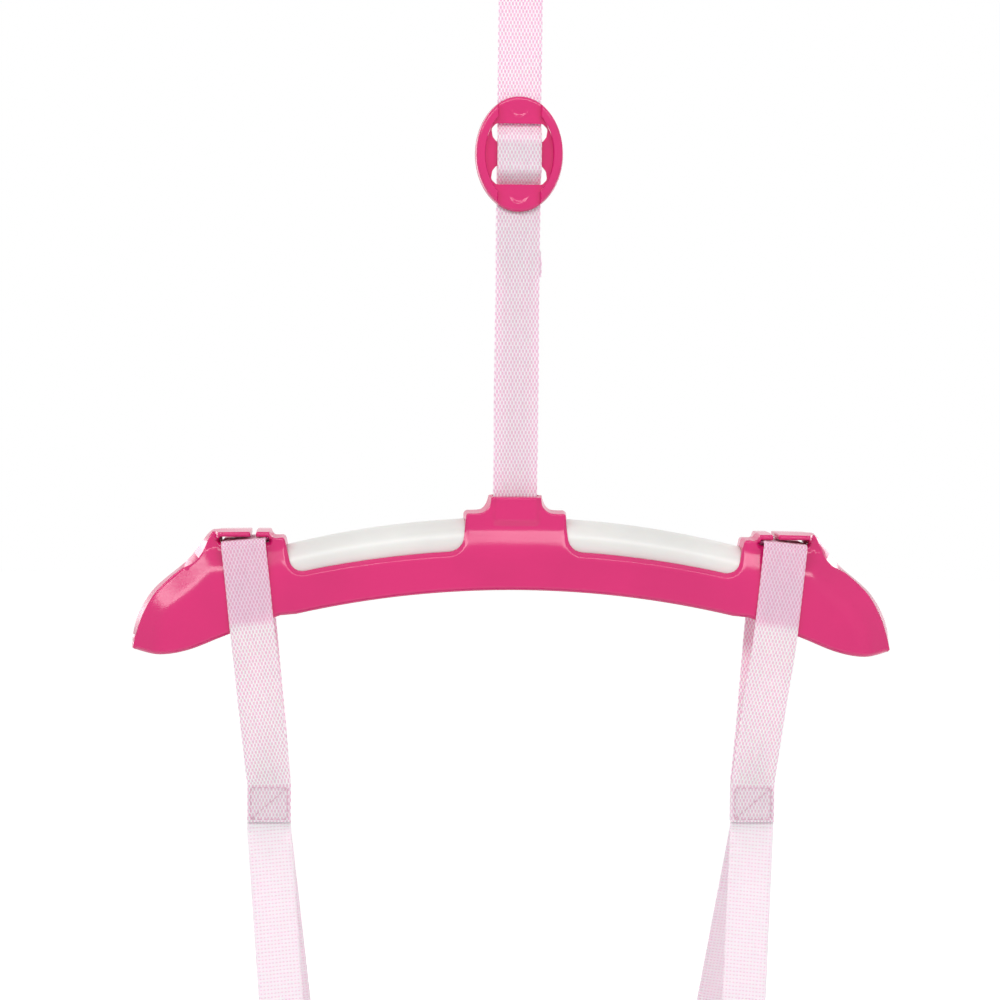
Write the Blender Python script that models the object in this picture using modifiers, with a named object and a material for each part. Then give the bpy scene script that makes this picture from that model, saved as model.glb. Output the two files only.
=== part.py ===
"""Baby doorway jumper, built as separate named pieces.

Metres, +Z up, front towards -Y. The origin is where the clamp rests: the top ledge of the door
casing, on the middle plane of the wall. Everything else hangs below it on one plumb line:
clamp, hanger, covered spring, webbing with its height adjuster, spreader bar, loops and seat.
"""

import math

import bmesh
import bpy
from mathutils import Matrix, Vector

MM = 0.001
GAP = 0.3 * MM
OVERRUN = 2.0 * MM
WELD = 0.01 * MM
POINT_WEIGHT = 1.0
QUARTER_TURN = math.pi / 2
FACING_FRONT = (QUARTER_TURN, 0, 0)
FACING_SIDE = (QUARTER_TURN, 0, QUARTER_TURN)

# Webbing
WEB_WIDTH = 25.0 * MM
WEB_THICK = 1.4 * MM
WEB_PITCH = WEB_THICK + GAP

# Door clamp: two jaws on one pivot pin
PIVOT_DROP = 135.0 * MM
WALL_GAP = 88.0 * MM
JAW_WIDTH = 44.0 * MM
JAW_SPREAD = 86.0 * MM
ARM_THICK = 13.0 * MM
ARM_DEPTH = 16.0 * MM
ARM_SINK = 6.0 * MM
ARM_BEND_RADIUS = 20.0 * MM
TOE_THICK = 12.0 * MM
TOE_CORNER = 4.0 * MM
PAD_THICK = 2.7 * MM
PAD_UNDER_LENGTH = 22.0 * MM
PAD_SIDE_MARGIN = 2.0 * MM
JAW_EDGE = 1.5 * MM
KNUCKLE_RADIUS = 9.0 * MM
KNUCKLE_CLEAR = 0.6 * MM
KNUCKLE_OUTER_WIDTH = 7.0 * MM
KNUCKLE_INNER_WIDTH = 6.4 * MM
KNUCKLE_SIDES = 24
HANDLE_LENGTH = 76.0 * MM
HANDLE_GAP_HALF = 26.0 * MM
HANDLE_THICK = 14.0 * MM
HANDLE_ROOT_HALF = 9.6 * MM
PIVOT_PIN_RADIUS = 3.0 * MM
PIN_HEAD_RADIUS = 5.5 * MM
PIN_HEAD_THICK = 2.5 * MM
PIN_SIDES = 16
SPRING_ROOM_RADIUS = 12.5 * MM
TORSION_WIRE = 1.0 * MM
TORSION_COIL_RADIUS = 5.4 * MM
TORSION_PITCH = 2.6 * MM
TORSION_TURNS = 4
TORSION_LEG = 34.0 * MM

# Hanger: two side plates and a rod that the spring hooks on
PLATE_THICK = 2.5 * MM
PLATE_RADIUS = 7.0 * MM
ROD_DROP = 92.0 * MM
ROD_RADIUS = 3.0 * MM

# Bounce spring, its cover and its safety tether
WIRE_RADIUS = 1.7 * MM
COIL_RADIUS = 12.5 * MM
COIL_LENGTH = 110.0 * MM
COIL_TURNS = 16
COIL_STEPS = 8
HOOK_RADIUS = 7.0 * MM
HOOK_NECK = 9.0 * MM
CAP_RADIUS = 20.0 * MM
CAP_HEIGHT = 9.0 * MM
CAP_PLATE = 3.0 * MM
CAP_EDGE = 2.0 * MM
CAP_STEPS = 16
SLEEVE_WALL = 1.2 * MM
SLEEVE_RIPPLE = 1.3 * MM
SLEEVE_RIPPLES = 9
SLEEVE_STEPS = 16
TETHER_RADIUS = 1.3 * MM
TETHER_OFFSET = 5.0 * MM
TETHER_WAVE = 3.0 * MM
TETHER_WAVES = 2
RING_ROD_RADIUS = 2.5 * MM
RING_HALF_HEIGHT = 9.0 * MM
RING_CORNER = 5.0 * MM
RING_SIDE_PLAY = 3.0 * MM

# Webbing between the spring and the bar, and the height adjuster on it
STRAP_ABOVE_ADJUSTER = 120.0 * MM
STRAP_TO_BAR = 160.7 * MM
SEWN_TAIL = 30.0 * MM
ADJUSTER_HALF_WIDTH = 25.0 * MM
ADJUSTER_HALF_HEIGHT = 32.5 * MM
ADJUSTER_PLATE = 3.2 * MM
ADJUSTER_RIM_WIDTH = 6.0 * MM
ADJUSTER_RIM_RISE = 3.4 * MM
ADJUSTER_RIM_GAP_HALF = 11.5 * MM
ADJUSTER_RIM_INSET = 0.3 * MM
ADJUSTER_EDGE = 0.8 * MM
ADJUSTER_STEPS = 36
SLOT_HEIGHT = 10.3 * MM
SLOT_HALF_TOP = 12.4 * MM
SLOT_HALF_MIDDLE = 15.4 * MM
SLOT_HALF_BAR = 13.4 * MM
SLOT_CORNER = 1.2 * MM
CROSSBAR_HALF = 6.8 * MM
THUMB_MARK_RADIUS = 5.0 * MM
THUMB_MARK_RISE = 0.7 * MM
THUMB_MARK_SIDES = 16
END_TAIL = 69.0 * MM
STRAP_PAST_ADJUSTER = 4.0 * MM
LOWER_STRAP_SHARES = ((0.08, 1.0), (0.2, 0.98), (0.35, 0.9), (0.5, 0.75), (1.0, 0.0))

# Spreader bar
BAR_HALF_DEPTH = 17.0 * MM
BAR_EDGE = 2.4 * MM
BAR_EDGE_SMALL = 1.2 * MM
BAR_WALL = 2.4 * MM
BAR_UNDERSIDE_DROP = 52.6 * MM
BAR_UNDERSIDE_RADIUS = 551.0 * MM
NECK_HALF_WIDTH = 15.4 * MM
NECK_HALF_DEPTH = 11.0 * MM
NECK_EDGE = 1.6 * MM
NECK_CORNER = 2.0 * MM
NECK_ROOT = 12.0 * MM
NECK_SLOT_PLAY = 0.7 * MM
SHOULDER_HALF_WIDTH = 29.5 * MM
SHOULDER_DROP = 8.6 * MM
SHOULDER_CORNER = 3.0 * MM
SHOULDER_FLARE = 1.0 * MM
HUB_PIN_RADIUS = 2.5 * MM
HUB_PIN_DROP = 8.2 * MM
HUB_PIN_SEAT = 3.3 * MM
WINDOW_LIP_DROP = 29.9 * MM
WINDOW_LIP_RADIUS = 545.0 * MM
WINDOW_BEFORE_HOOK = 13.5 * MM
WINDOW_INNER_FILLET = 9.0 * MM
WINDOW_OUTER_FILLET = 7.0 * MM
WINDOW_END_LEAN = 4.0 * MM
TUBE_RADIUS = 13.0 * MM
TUBE_ARCH_RADIUS = 517.0 * MM
TUBE_TOP_DROP = 12.84 * MM
TUBE_HALF_LENGTH = 185.0 * MM
TUBE_STEPS = 8
TUBE_PAST_HOOK = 17.5 * MM
HOOK_SLOT_WIDTH = 27.5 * MM
HOOK_SLOT_HEIGHT = 4.0 * MM
SADDLE_DROP = 27.6 * MM
FINGER_THICK = 3.4 * MM
FINGER_GAP = 2.6 * MM
SHORT_FINGER = 7.2 * MM
HOOK_INSET = 0.4 * MM
BOSS_DROP = 22.8 * MM
BOSS_WIDTH = 9.0 * MM
BOSS_FLAT_SHARE = 0.62
OUTER_BOSS_WIDTH = 9.0 * MM
OUTER_BOSS_FLAT_SHARE = 0.5
HOOK_ROOT = 3.6 * MM
TIP_PAST_HOOK = 10.0 * MM
TIP_LENGTH = 40.3 * MM
TIP_HEIGHT = 60.6 * MM
TIP_TOP_SHARES = ((0.0, 0.0), (0.186, 0.18), (0.546, 0.38), (0.886, 0.667), (1.0, 1.0))
KEEL_BEFORE_HOOK = 7.0 * MM
KEEL_SHARES = ((0.0, 0.0), (0.41, 0.68), (0.62, 1.04), (0.83, 1.18), (1.0, 1.0))
RIB_WIDTH = 4.0 * MM
POCKET_CORNER = 2.5 * MM
TIP_POCKET_SHARES = ((0.0, 0.09), (0.22, 0.1), (0.62, 0.42), (0.8, 0.6), (0.86, 0.86),
                     (0.72, 0.98), (0.4, 0.97), (0.0, 0.84))
SCREW_PLACES = (22.0 * MM, 80.0 * MM)
TIP_SCREW_PAST_TUBE = 5.9 * MM
TIP_SCREW_BELOW_TUBE = 7.5 * MM
SCREW_SHANK = 1.5 * MM
SCREW_HEAD = 3.1 * MM
SCREW_HEAD_THICK = 2.4 * MM
SCREW_HEAD_DEPTH = 8.3 * MM
SCREW_REACH = 11.0 * MM
BOSS_POST_WALL = 1.6 * MM
SCREW_SIDES = 8

# Side loops that slip over the bar's hooks, sewn to the seat straps
LOOP_DROP = 139.5 * MM
LOOP_SEAM_HEIGHT = 21.5 * MM
LOOP_LEAN = 14.3 * MM
SEAT_STRAP_DROP = 320.0 * MM
STRAP_WRAP_TAIL = 24.0 * MM
STRAP_WRAP_STEPS = 6

# Seat
HOOP_HALF_X = 160.0 * MM
HOOP_HALF_Y = 125.0 * MM
HOOP_CORNER = 80.0 * MM
HOOP_RADIUS = 8.0 * MM
HOOP_CORNER_STEPS = 9
STRAP_FROM_HOOP_SIDE = 53.0 * MM
STRAP_HOOP_PLAY = 1.5 * MM
RIM_PAD_RADIUS = 20.0 * MM
RIM_PAD_GAP = 6.5 * MM
RIM_PAD_PLAY = 1.3 * MM
PANEL_INSET = 4.0 * MM
PANEL_HEIGHT = 84.0 * MM
PANEL_TAPER = 6.0 * MM
PANEL_THICK = 5.0 * MM
SLING_HALF_TOP = 70.0 * MM
SLING_HALF_BOTTOM = 52.0 * MM
SLING_DROP = 205.0 * MM
SLING_LAP = 22.0 * MM
SLING_PLAY = 0.8 * MM
SLING_THICK = 5.0 * MM
SLING_EDGE_LIFT = 16.0 * MM
SLING_STEPS = 16
SLING_COLUMNS = 4
SLING_SIDE_POWER_SHARE = 0.8
SLING_DIP_POWER_SHARE = 0.9
SLING_FLARE_POWER_SHARE = 1.6

# Places along the bar, from the tube's ends inwards and outwards
HOOK_SLOT_START = TUBE_HALF_LENGTH - TUBE_PAST_HOOK - HOOK_SLOT_WIDTH
HOOK_SLOT_END = HOOK_SLOT_START + HOOK_SLOT_WIDTH
WINDOW_END = HOOK_SLOT_START - WINDOW_BEFORE_HOOK
KEEL_START = HOOK_SLOT_START - KEEL_BEFORE_HOOK
TIP_START = HOOK_SLOT_END + TIP_PAST_HOOK
TIP_END = TIP_START + TIP_LENGTH
STRAP_HALF_SPREAD = HOOP_HALF_X - STRAP_FROM_HOOP_SIDE

# Levels down the plumb line
PIVOT_Z = -PIVOT_DROP
ROD_Z = PIVOT_Z - ROD_DROP
HOOK_SEAT = HOOK_RADIUS - WIRE_RADIUS - ROD_RADIUS - GAP
COIL_TOP_Z = ROD_Z - HOOK_SEAT - HOOK_RADIUS - HOOK_NECK
COIL_BOTTOM_Z = COIL_TOP_Z - COIL_LENGTH
RING_SEAT = HOOK_RADIUS - WIRE_RADIUS - RING_ROD_RADIUS - GAP
HOOK_SEAT_OF = {-1: HOOK_SEAT, 1: RING_SEAT}
RING_TOP_Z = COIL_BOTTOM_Z - HOOK_NECK - HOOK_RADIUS - RING_SEAT
RING_BOTTOM_Z = RING_TOP_Z - 2 * RING_HALF_HEIGHT
ADJUSTER_Z = RING_BOTTOM_Z - STRAP_ABOVE_ADJUSTER - ADJUSTER_HALF_HEIGHT
BAR_Z = ADJUSTER_Z - ADJUSTER_HALF_HEIGHT - STRAP_TO_BAR
HUB_PIN_Z = BAR_Z - HUB_PIN_DROP
SADDLE_Z = BAR_Z - SADDLE_DROP
SEAM_Z = SADDLE_Z - LOOP_DROP
HOOP_Z = SEAM_Z - LOOP_SEAM_HEIGHT - SEAT_STRAP_DROP

# Layers of webbing at the adjuster, measured back from the middle of its plate
PLATE_BACK = ADJUSTER_PLATE / 2 + GAP + WEB_THICK / 2
LAYER_MAIN = PLATE_BACK
LAYER_TAIL = PLATE_BACK + WEB_PITCH
LAYER_REAR = PLATE_BACK + 2 * WEB_PITCH
CORNER_LIFT = WEB_THICK / 2 + 1.4 * GAP
LAYER_FRONT = ADJUSTER_PLATE / 2 + CORNER_LIFT + WEB_PITCH
MAIN_SLOT_SHARES = ((-1.8, 0.23), (0.0, 0.69), (0.95, 0.95))
TAIL_SLOT_SHARES = ((-1.1, 0.0), (-0.62, 0.2), (1.14, 0.62), (1.8, 0.99))
RISER_SLOT_SHARES = ((2.55, 0.94), (1.95, 0.5), (1.14, 0.07))
ADJUSTER_Y = -(LAYER_MAIN + LAYER_REAR) / 2

PINK = (0.735, 0.045, 0.215, 1.0)
WHITE = (0.86, 0.85, 0.83, 1.0)
PALE_PINK = (0.90, 0.72, 0.81, 1.0)
STEEL = (0.62, 0.62, 0.64, 1.0)
DARK = (0.06, 0.06, 0.065, 1.0)


def fresh_collection(name):
    """A new collection in the scene."""
    made = bpy.data.collections.new(name)
    bpy.context.scene.collection.children.link(made)
    return made


def finish(name, colour, roughness, metallic=0.0):
    """A plain Principled material."""
    made = bpy.data.materials.new(name)
    made.use_nodes = True
    shader = made.node_tree.nodes["Principled BSDF"]
    shader.inputs["Base Color"].default_value = colour
    shader.inputs["Roughness"].default_value = roughness
    shader.inputs["Metallic"].default_value = metallic
    made.diffuse_color = colour
    return made


def frame(name, place, parent=None):
    """An empty that carries a group of pieces, at a place in the world."""
    made = bpy.data.objects.new(name, None)
    parts.objects.link(made)
    made.parent = parent
    made.location = Vector(place) - (parent.matrix_world.translation if parent else Vector())
    bpy.context.view_layer.update()
    return made


def put(obj, carrier, material=None, as_cutter=False, place=(0, 0, 0), turn=(0, 0, 0)):
    """Links an object below its carrier, as a piece or as a cutter."""
    (cutters if as_cutter else parts).objects.link(obj)
    obj.parent = carrier
    obj.location = place
    obj.rotation_euler = turn
    if material:
        obj.data.materials.append(material)
    if as_cutter:
        obj.hide_render = True
        obj.display_type = "WIRE"
    bpy.context.view_layer.update()
    return obj


def mesh_object(name, build):
    """A mesh object filled in by build, which gets the bmesh."""
    mesh = bpy.data.meshes.new(name)
    work = bmesh.new()
    build(work)
    bmesh.ops.recalc_face_normals(work, faces=work.faces)
    work.to_mesh(mesh)
    work.free()
    return bpy.data.objects.new(name, mesh)


def cylinder_between(start, end, radius, sides):
    """A builder for a closed cylinder from one point to another."""
    start, end = Vector(start), Vector(end)
    turn = (end - start).to_track_quat("Z", "Y").to_matrix().to_4x4()

    def build(work):
        bmesh.ops.create_cone(
            work, cap_ends=True, segments=sides, radius1=radius, radius2=radius,
            depth=(end - start).length, matrix=Matrix.Translation((start + end) / 2) @ turn,
        )

    return build


def box_between(low, high):
    """A builder for a box from its lowest to its highest corner."""
    low, high = Vector(low), Vector(high)

    def build(work):
        scale = Matrix.Diagonal((*(high - low), 1))
        bmesh.ops.create_cube(work, size=1, matrix=Matrix.Translation((low + high) / 2) @ scale)

    return build


def together(*builders):
    """Several closed forms in one mesh."""

    def build(work):
        for builder in builders:
            builder(work)

    return build


def flat_form(name, outline, half_depth, edge=0.0, edge_steps=2):
    """A 2D curve with the outline filled and thickened, its edges rounded inside the outline."""
    curve = bpy.data.curves.new(name, "CURVE")
    curve.dimensions = "2D"
    curve.fill_mode = "BOTH"
    curve.extrude = half_depth - edge
    curve.bevel_depth = edge
    curve.bevel_resolution = edge_steps
    curve.offset = -edge
    spline = curve.splines.new("POLY")
    spline.points.add(len(outline) - 1)
    for point, place in zip(spline.points, outline):
        point.co = (*place, 0, POINT_WEIGHT)
    spline.use_cyclic_u = True
    return bpy.data.objects.new(name, curve)


def tube(name, points, radius, resolution=2, closed=False):
    """A wire or tube along the points, with filled ends."""
    curve = bpy.data.curves.new(name, "CURVE")
    curve.dimensions = "3D"
    curve.bevel_depth = radius
    curve.bevel_resolution = resolution
    curve.use_fill_caps = not closed
    spline = curve.splines.new("POLY")
    spline.points.add(len(points) - 1)
    for point, place in zip(spline.points, points):
        point.co = (*place, POINT_WEIGHT)
    spline.use_cyclic_u = closed
    return bpy.data.objects.new(name, curve)


def as_mesh(obj):
    """The evaluated curve as a welded mesh object that takes its place."""
    bpy.context.view_layer.update()
    evaluated = obj.evaluated_get(bpy.context.evaluated_depsgraph_get())
    mesh = bpy.data.meshes.new_from_object(evaluated)
    work = bmesh.new()
    work.from_mesh(mesh)
    bmesh.ops.remove_doubles(work, verts=work.verts, dist=WELD)
    bmesh.ops.recalc_face_normals(work, faces=work.faces)
    work.to_mesh(mesh)
    work.free()
    name, parent, hidden = obj.name, obj.parent, obj.hide_render
    matrix, home = obj.matrix_world.copy(), obj.users_collection[0]
    bpy.data.objects.remove(obj)
    made = bpy.data.objects.new(name, mesh)
    home.objects.link(made)
    made.parent = parent
    made.matrix_world = matrix
    made.hide_render = hidden
    made.display_type = "WIRE" if hidden else "TEXTURED"
    bpy.context.view_layer.update()
    return made


def combine(target, other, operation):
    """Joins another solid to the target, or cuts it away."""
    step = target.modifiers.new(other.name, "BOOLEAN")
    step.operation = operation
    step.object = other
    step.solver = "EXACT"


def ribbon(name, stations, width, thick):
    """Flat webbing through stations of (centre, direction across)."""

    def build(work):
        rows = []
        for centre, across in stations:
            side = Vector(across).normalized() * width / 2
            rows.append([work.verts.new(Vector(centre) - side), work.verts.new(Vector(centre) + side)])
        for one, two in zip(rows, rows[1:]):
            work.faces.new((one[0], one[1], two[1], two[0]))

    made = mesh_object(name, build)
    thicken(made, thick)
    return made


def thicken(obj, thick):
    """Solidify, centred on the surface."""
    step = obj.modifiers.new("thickness", "SOLIDIFY")
    step.thickness = thick
    step.offset = 0
    step.use_even_offset = True


def turned(name, profile, steps):
    """A closed profile of (radius, height) turned about Z."""

    def build(work):
        ring = [work.verts.new((r, 0, z)) for r, z in profile]
        for one, two in zip(ring, ring[1:] + ring[:1]):
            work.edges.new((one, two))

    made = mesh_object(name, build)
    step = made.modifiers.new("turn", "SCREW")
    step.steps = steps
    step.render_steps = steps
    step.merge_threshold = WELD
    step.use_merge_vertices = True
    return made


def smooth_through(points, steps):
    """A curve through every point, with so many steps between two of them."""
    spots = [Vector(p) for p in points]
    spots = [2 * spots[0] - spots[1], *spots, 2 * spots[-1] - spots[-2]]
    found = []
    for a, b, c, d in zip(spots, spots[1:], spots[2:], spots[3:]):
        for i in range(steps):
            t = i / steps
            found.append(
                (2 * b + (c - a) * t + (2 * a - 5 * b + 4 * c - d) * t**2
                 + (3 * b - a - 3 * c + d) * t**3) / 2
            )
    return [*found, spots[-2]]


def rounded(corners, steps=3):
    """An outline whose corners of (x, y, radius) are rounded."""
    found = []
    count = len(corners)
    for i, (x, y, radius) in enumerate(corners):
        here = Vector((x, y))
        if radius <= 0:
            found.append(here)
            continue
        back = Vector(corners[i - 1][:2]) - here
        ahead = Vector(corners[(i + 1) % count][:2]) - here
        half = back.angle(ahead) / 2
        reach = min(radius / math.tan(half), back.length / 2, ahead.length / 2)
        radius = reach * math.tan(half)
        middle = here + (back.normalized() + ahead.normalized()).normalized() * radius / math.sin(half)
        start = here + back.normalized() * reach - middle
        sweep = start.angle_signed(here + ahead.normalized() * reach - middle)
        for k in range(steps + 1):
            turn = Matrix.Rotation(-sweep * k / steps, 2)
            found.append(middle + turn @ start)
    return found


def arc(centre, radius, start, sweep, steps):
    """Points on a circle, angles in radians."""
    return [
        (centre[0] + radius * math.cos(start + sweep * i / steps),
         centre[1] + radius * math.sin(start + sweep * i / steps))
        for i in range(steps + 1)
    ]


def arched(x, drop, radius):
    """Height of an arch with its crown at -drop on the middle line."""
    return -drop - (radius - math.sqrt(radius**2 - x**2))


def least_gap(points, turns_apart, diameter):
    """The least clear distance between stretches of a winding that lie some points apart."""
    spots = [Vector(p) for p in points]
    nearest = min(
        (a - b).length for i, a in enumerate(spots) for b in spots[i + turns_apart:]
    )
    return nearest - diameter


def mirrored_ends(outline):
    """The outline of a whole from its right half, given from the top to the bottom."""
    left = [(-x, z) for x, z in reversed(outline)]
    return [*outline, *left]


# Door clamp

def jaw_outline(side):
    """Side view of one jaw about the pivot, for the side +1 (rear) or -1 (front)."""
    inner = JAW_SPREAD - ARM_THICK
    toe_end = WALL_GAP / 2 + PAD_THICK + GAP
    toe_bottom = PIVOT_DROP + PAD_THICK + GAP
    toe_top = toe_bottom + TOE_THICK
    arm_top = ARM_DEPTH - ARM_SINK
    corners = [
        (HANDLE_ROOT_HALF, -KNUCKLE_RADIUS, 0),
        (HANDLE_GAP_HALF, -HANDLE_LENGTH, ARM_THICK / 3),
        (HANDLE_GAP_HALF + HANDLE_THICK, -HANDLE_LENGTH, ARM_THICK / 3),
        (KNUCKLE_RADIUS + HANDLE_THICK, -KNUCKLE_RADIUS, ARM_SINK),
        (JAW_SPREAD, -ARM_SINK, ARM_BEND_RADIUS),
        (JAW_SPREAD, toe_top, TOE_CORNER * 2),
        (toe_end, toe_top, TOE_CORNER),
        (toe_end, toe_bottom, 0),
        (inner, toe_bottom, TOE_CORNER),
        (inner, arm_top + KNUCKLE_RADIUS, ARM_BEND_RADIUS),
        (HANDLE_ROOT_HALF, KNUCKLE_RADIUS, 0),
    ]
    knuckle = arc((0, 0), KNUCKLE_RADIUS, QUARTER_TURN, math.pi, KNUCKLE_SIDES // 2)
    outline = [*rounded(corners, 4), *knuckle]
    return [(side * y, z) for y, z in outline]


def make_jaw(name, side, carrier):
    """One moulded jaw, cut to knuckles where the other jaw and the spring sit."""
    jaw = as_mesh(put(flat_form(name, jaw_outline(side), JAW_WIDTH / 2, JAW_EDGE, 1),
                      carrier, pink_plastic, turn=FACING_SIDE))
    half = JAW_WIDTH / 2
    outer_edge = half - KNUCKLE_OUTER_WIDTH
    inner_edge = outer_edge - GAP - KNUCKLE_INNER_WIDTH
    relief = KNUCKLE_RADIUS + KNUCKLE_CLEAR
    if side < 0:
        spans = [(-outer_edge, outer_edge)]
    else:
        spans = [(-half - OVERRUN, GAP - outer_edge), (outer_edge - GAP, half + OVERRUN)]
    spans_cut = together(*[
        cylinder_between((a, 0, 0), (b, 0, 0), relief, KNUCKLE_SIDES) for a, b in spans
    ])
    room = cylinder_between((-inner_edge, 0, 0), (inner_edge, 0, 0), SPRING_ROOM_RADIUS, KNUCKLE_SIDES)
    combine(jaw, put(mesh_object(name + "_spring_room", room), carrier, as_cutter=True), "DIFFERENCE")
    reliefs = put(mesh_object(name + "_reliefs", spans_cut), carrier, as_cutter=True)
    bore = cylinder_between((-half - OVERRUN, 0, 0), (half + OVERRUN, 0, 0),
                            PIVOT_PIN_RADIUS + GAP, PIN_SIDES)
    bore = put(mesh_object(name + "_bore", bore), carrier, as_cutter=True)
    combine(jaw, reliefs, "DIFFERENCE")
    combine(jaw, bore, "DIFFERENCE")
    return jaw


def make_jaw_pad(name, side, carrier):
    """The rubber pad under and in front of a toe: it rests on the casing and grips the wall."""
    face = WALL_GAP / 2
    low = PIVOT_DROP
    outline = [
        (face, low), (face + PAD_UNDER_LENGTH, low), (face + PAD_UNDER_LENGTH, low + PAD_THICK),
        (face + PAD_THICK, low + PAD_THICK), (face + PAD_THICK, low + PAD_THICK + TOE_THICK),
        (face, low + PAD_THICK + TOE_THICK),
    ]
    outline = [(side * y, z) for y, z in outline]
    return put(flat_form(name, outline, JAW_WIDTH / 2 - PAD_SIDE_MARGIN), carrier, rubber,
               turn=FACING_SIDE)


def pin_with_heads(name, half_length, radius, carrier, material):
    """A plain pin along X with a flat head on each end."""
    middle = cylinder_between((-half_length, 0, 0), (half_length, 0, 0), radius, PIN_SIDES)
    pin = put(mesh_object(name, middle), carrier, material)
    head_start = half_length - PIN_HEAD_THICK
    for end in (-1, 1):
        head = cylinder_between((end * head_start, 0, 0),
                                (end * (half_length + radius / 6), 0, 0), PIN_HEAD_RADIUS, PIN_SIDES)
        head = put(mesh_object(f"{name}_head_{end}", head), carrier, as_cutter=True)
        combine(pin, head, "UNION")
    return pin


def torsion_spring_path():
    """Coil about the pivot with a leg down the inside of each handle."""
    handle = Vector((0, HANDLE_GAP_HALF - HANDLE_ROOT_HALF, KNUCKLE_RADIUS - HANDLE_LENGTH)).normalized()
    lean = math.atan2(handle.y, -handle.z)
    total = math.tau * TORSION_TURNS + math.pi - 2 * lean
    start = -TORSION_PITCH * total / math.tau / 2
    steps = COIL_STEPS * TORSION_TURNS + COIL_STEPS // 2
    coil = [
        Vector((start - 2 * start * i / steps,
                TORSION_COIL_RADIUS * math.cos(math.pi - lean - total * i / steps),
                TORSION_COIL_RADIUS * math.sin(math.pi - lean - total * i / steps)))
        for i in range(steps + 1)
    ]
    into = Vector((0, -handle.y, handle.z)) * TORSION_LEG
    out = Vector((0, handle.y, handle.z)) * TORSION_LEG
    return [coil[0] + into, *coil, coil[-1] + out]


def make_clamp():
    """The clamp's jaws, pads, pivot pin and closing spring."""
    pivot = frame("clamp_pivot", (0, 0, PIVOT_Z))
    for name, side in (("front_jaw", -1), ("rear_jaw", 1)):
        axis = frame(name + "_axis", (0, 0, PIVOT_Z), pivot)
        make_jaw(name, side, axis)
        make_jaw_pad(name + "_pad", side, axis)
    half = JAW_WIDTH / 2 + GAP + PLATE_THICK + GAP + PIN_HEAD_THICK
    pin_with_heads("clamp_pivot_pin", half, PIVOT_PIN_RADIUS, pivot, steel)
    path = torsion_spring_path()
    put(tube("clamp_torsion_spring", path, TORSION_WIRE, 1), pivot, steel)
    print("closing spring clear gap mm", least_gap(path[1:-1], COIL_STEPS - 2, 2 * TORSION_WIRE) / MM)


# Hanger below the clamp

def make_hanger():
    """Side plates that swing on the clamp's pin, and the rod between their lower ends."""
    pivot = frame("hanger_pivot", (0, 0, PIVOT_Z))
    outline = [
        *arc((0, 0), PLATE_RADIUS, 0, math.pi, 8),
        *arc((0, -ROD_DROP), PLATE_RADIUS, math.pi, math.pi, 8),
    ]
    inside = JAW_WIDTH / 2 + GAP
    middle = inside + PLATE_THICK / 2
    reach = inside + PLATE_THICK + OVERRUN
    bores = together(
        cylinder_between((-reach, 0, 0), (reach, 0, 0), PIVOT_PIN_RADIUS + GAP, PIN_SIDES),
        cylinder_between((-reach, 0, -ROD_DROP), (reach, 0, -ROD_DROP), ROD_RADIUS + GAP, PIN_SIDES),
    )
    bores = put(mesh_object("hanger_bores", bores), pivot, as_cutter=True)
    for name, side in (("left_hanger_plate", -1), ("right_hanger_plate", 1)):
        plate = flat_form(name, outline, PLATE_THICK / 2)
        plate = as_mesh(put(plate, pivot, steel, place=(side * middle, 0, 0), turn=FACING_SIDE))
        combine(plate, bores, "DIFFERENCE")
    rod = frame("hanger_rod_axis", (0, 0, ROD_Z), pivot)
    pin_with_heads("hanger_rod", inside + PLATE_THICK + GAP + PIN_HEAD_THICK, ROD_RADIUS, rod, steel)


# Bounce spring

def hook_points(seat_z, direction):
    """A round hook in the YZ plane whose inside rests on a rod, from its tip to its foot."""
    centre = seat_z + direction * HOOK_SEAT_OF[direction]
    sweep = -math.tau * 5 / 6
    foot = direction * QUARTER_TURN
    return [
        Vector((0, HOOK_RADIUS * math.cos(foot + sweep * (1 - i / 10)),
                centre + HOOK_RADIUS * math.sin(foot + sweep * (1 - i / 10))))
        for i in range(11)
    ]


def bounce_spring_path():
    """Hook, coil and hook as one wire, with heights taken from the hanger's rod."""
    top, bottom = COIL_TOP_Z - ROD_Z, COIL_BOTTOM_Z - ROD_Z
    steps = COIL_TURNS * COIL_STEPS
    coil = [
        Vector((COIL_RADIUS * math.cos(math.tau * i / COIL_STEPS),
                COIL_RADIUS * math.sin(math.tau * i / COIL_STEPS),
                top + (bottom - top) * i / steps))
        for i in range(steps + 1)
    ]
    head = hook_points(0, -1)
    foot = hook_points(RING_TOP_Z - ROD_Z, 1)[::-1]
    bend_in = Vector((COIL_RADIUS / 2, -COIL_RADIUS / 4, top))
    bend_out = Vector((COIL_RADIUS / 2, COIL_RADIUS / 4, bottom))
    return [*head, bend_in, *coil, bend_out, *foot]


def cap_profile(direction):
    """Half section of a cap, a cup over the coil's end, opening away from the hook."""
    bore = HOOK_RADIUS + WIRE_RADIUS + GAP
    cup = COIL_RADIUS + WIRE_RADIUS + GAP
    shape = [
        (CAP_RADIUS - CAP_EDGE, CAP_PLATE), (CAP_RADIUS, CAP_PLATE - CAP_EDGE),
        (CAP_RADIUS, CAP_PLATE - CAP_HEIGHT), (cup, CAP_PLATE - CAP_HEIGHT),
        (cup, 0), (bore, 0), (bore, CAP_PLATE),
    ]
    flipped = [(r, -z) for r, z in reversed(shape)]
    return shape if direction > 0 else flipped


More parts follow.
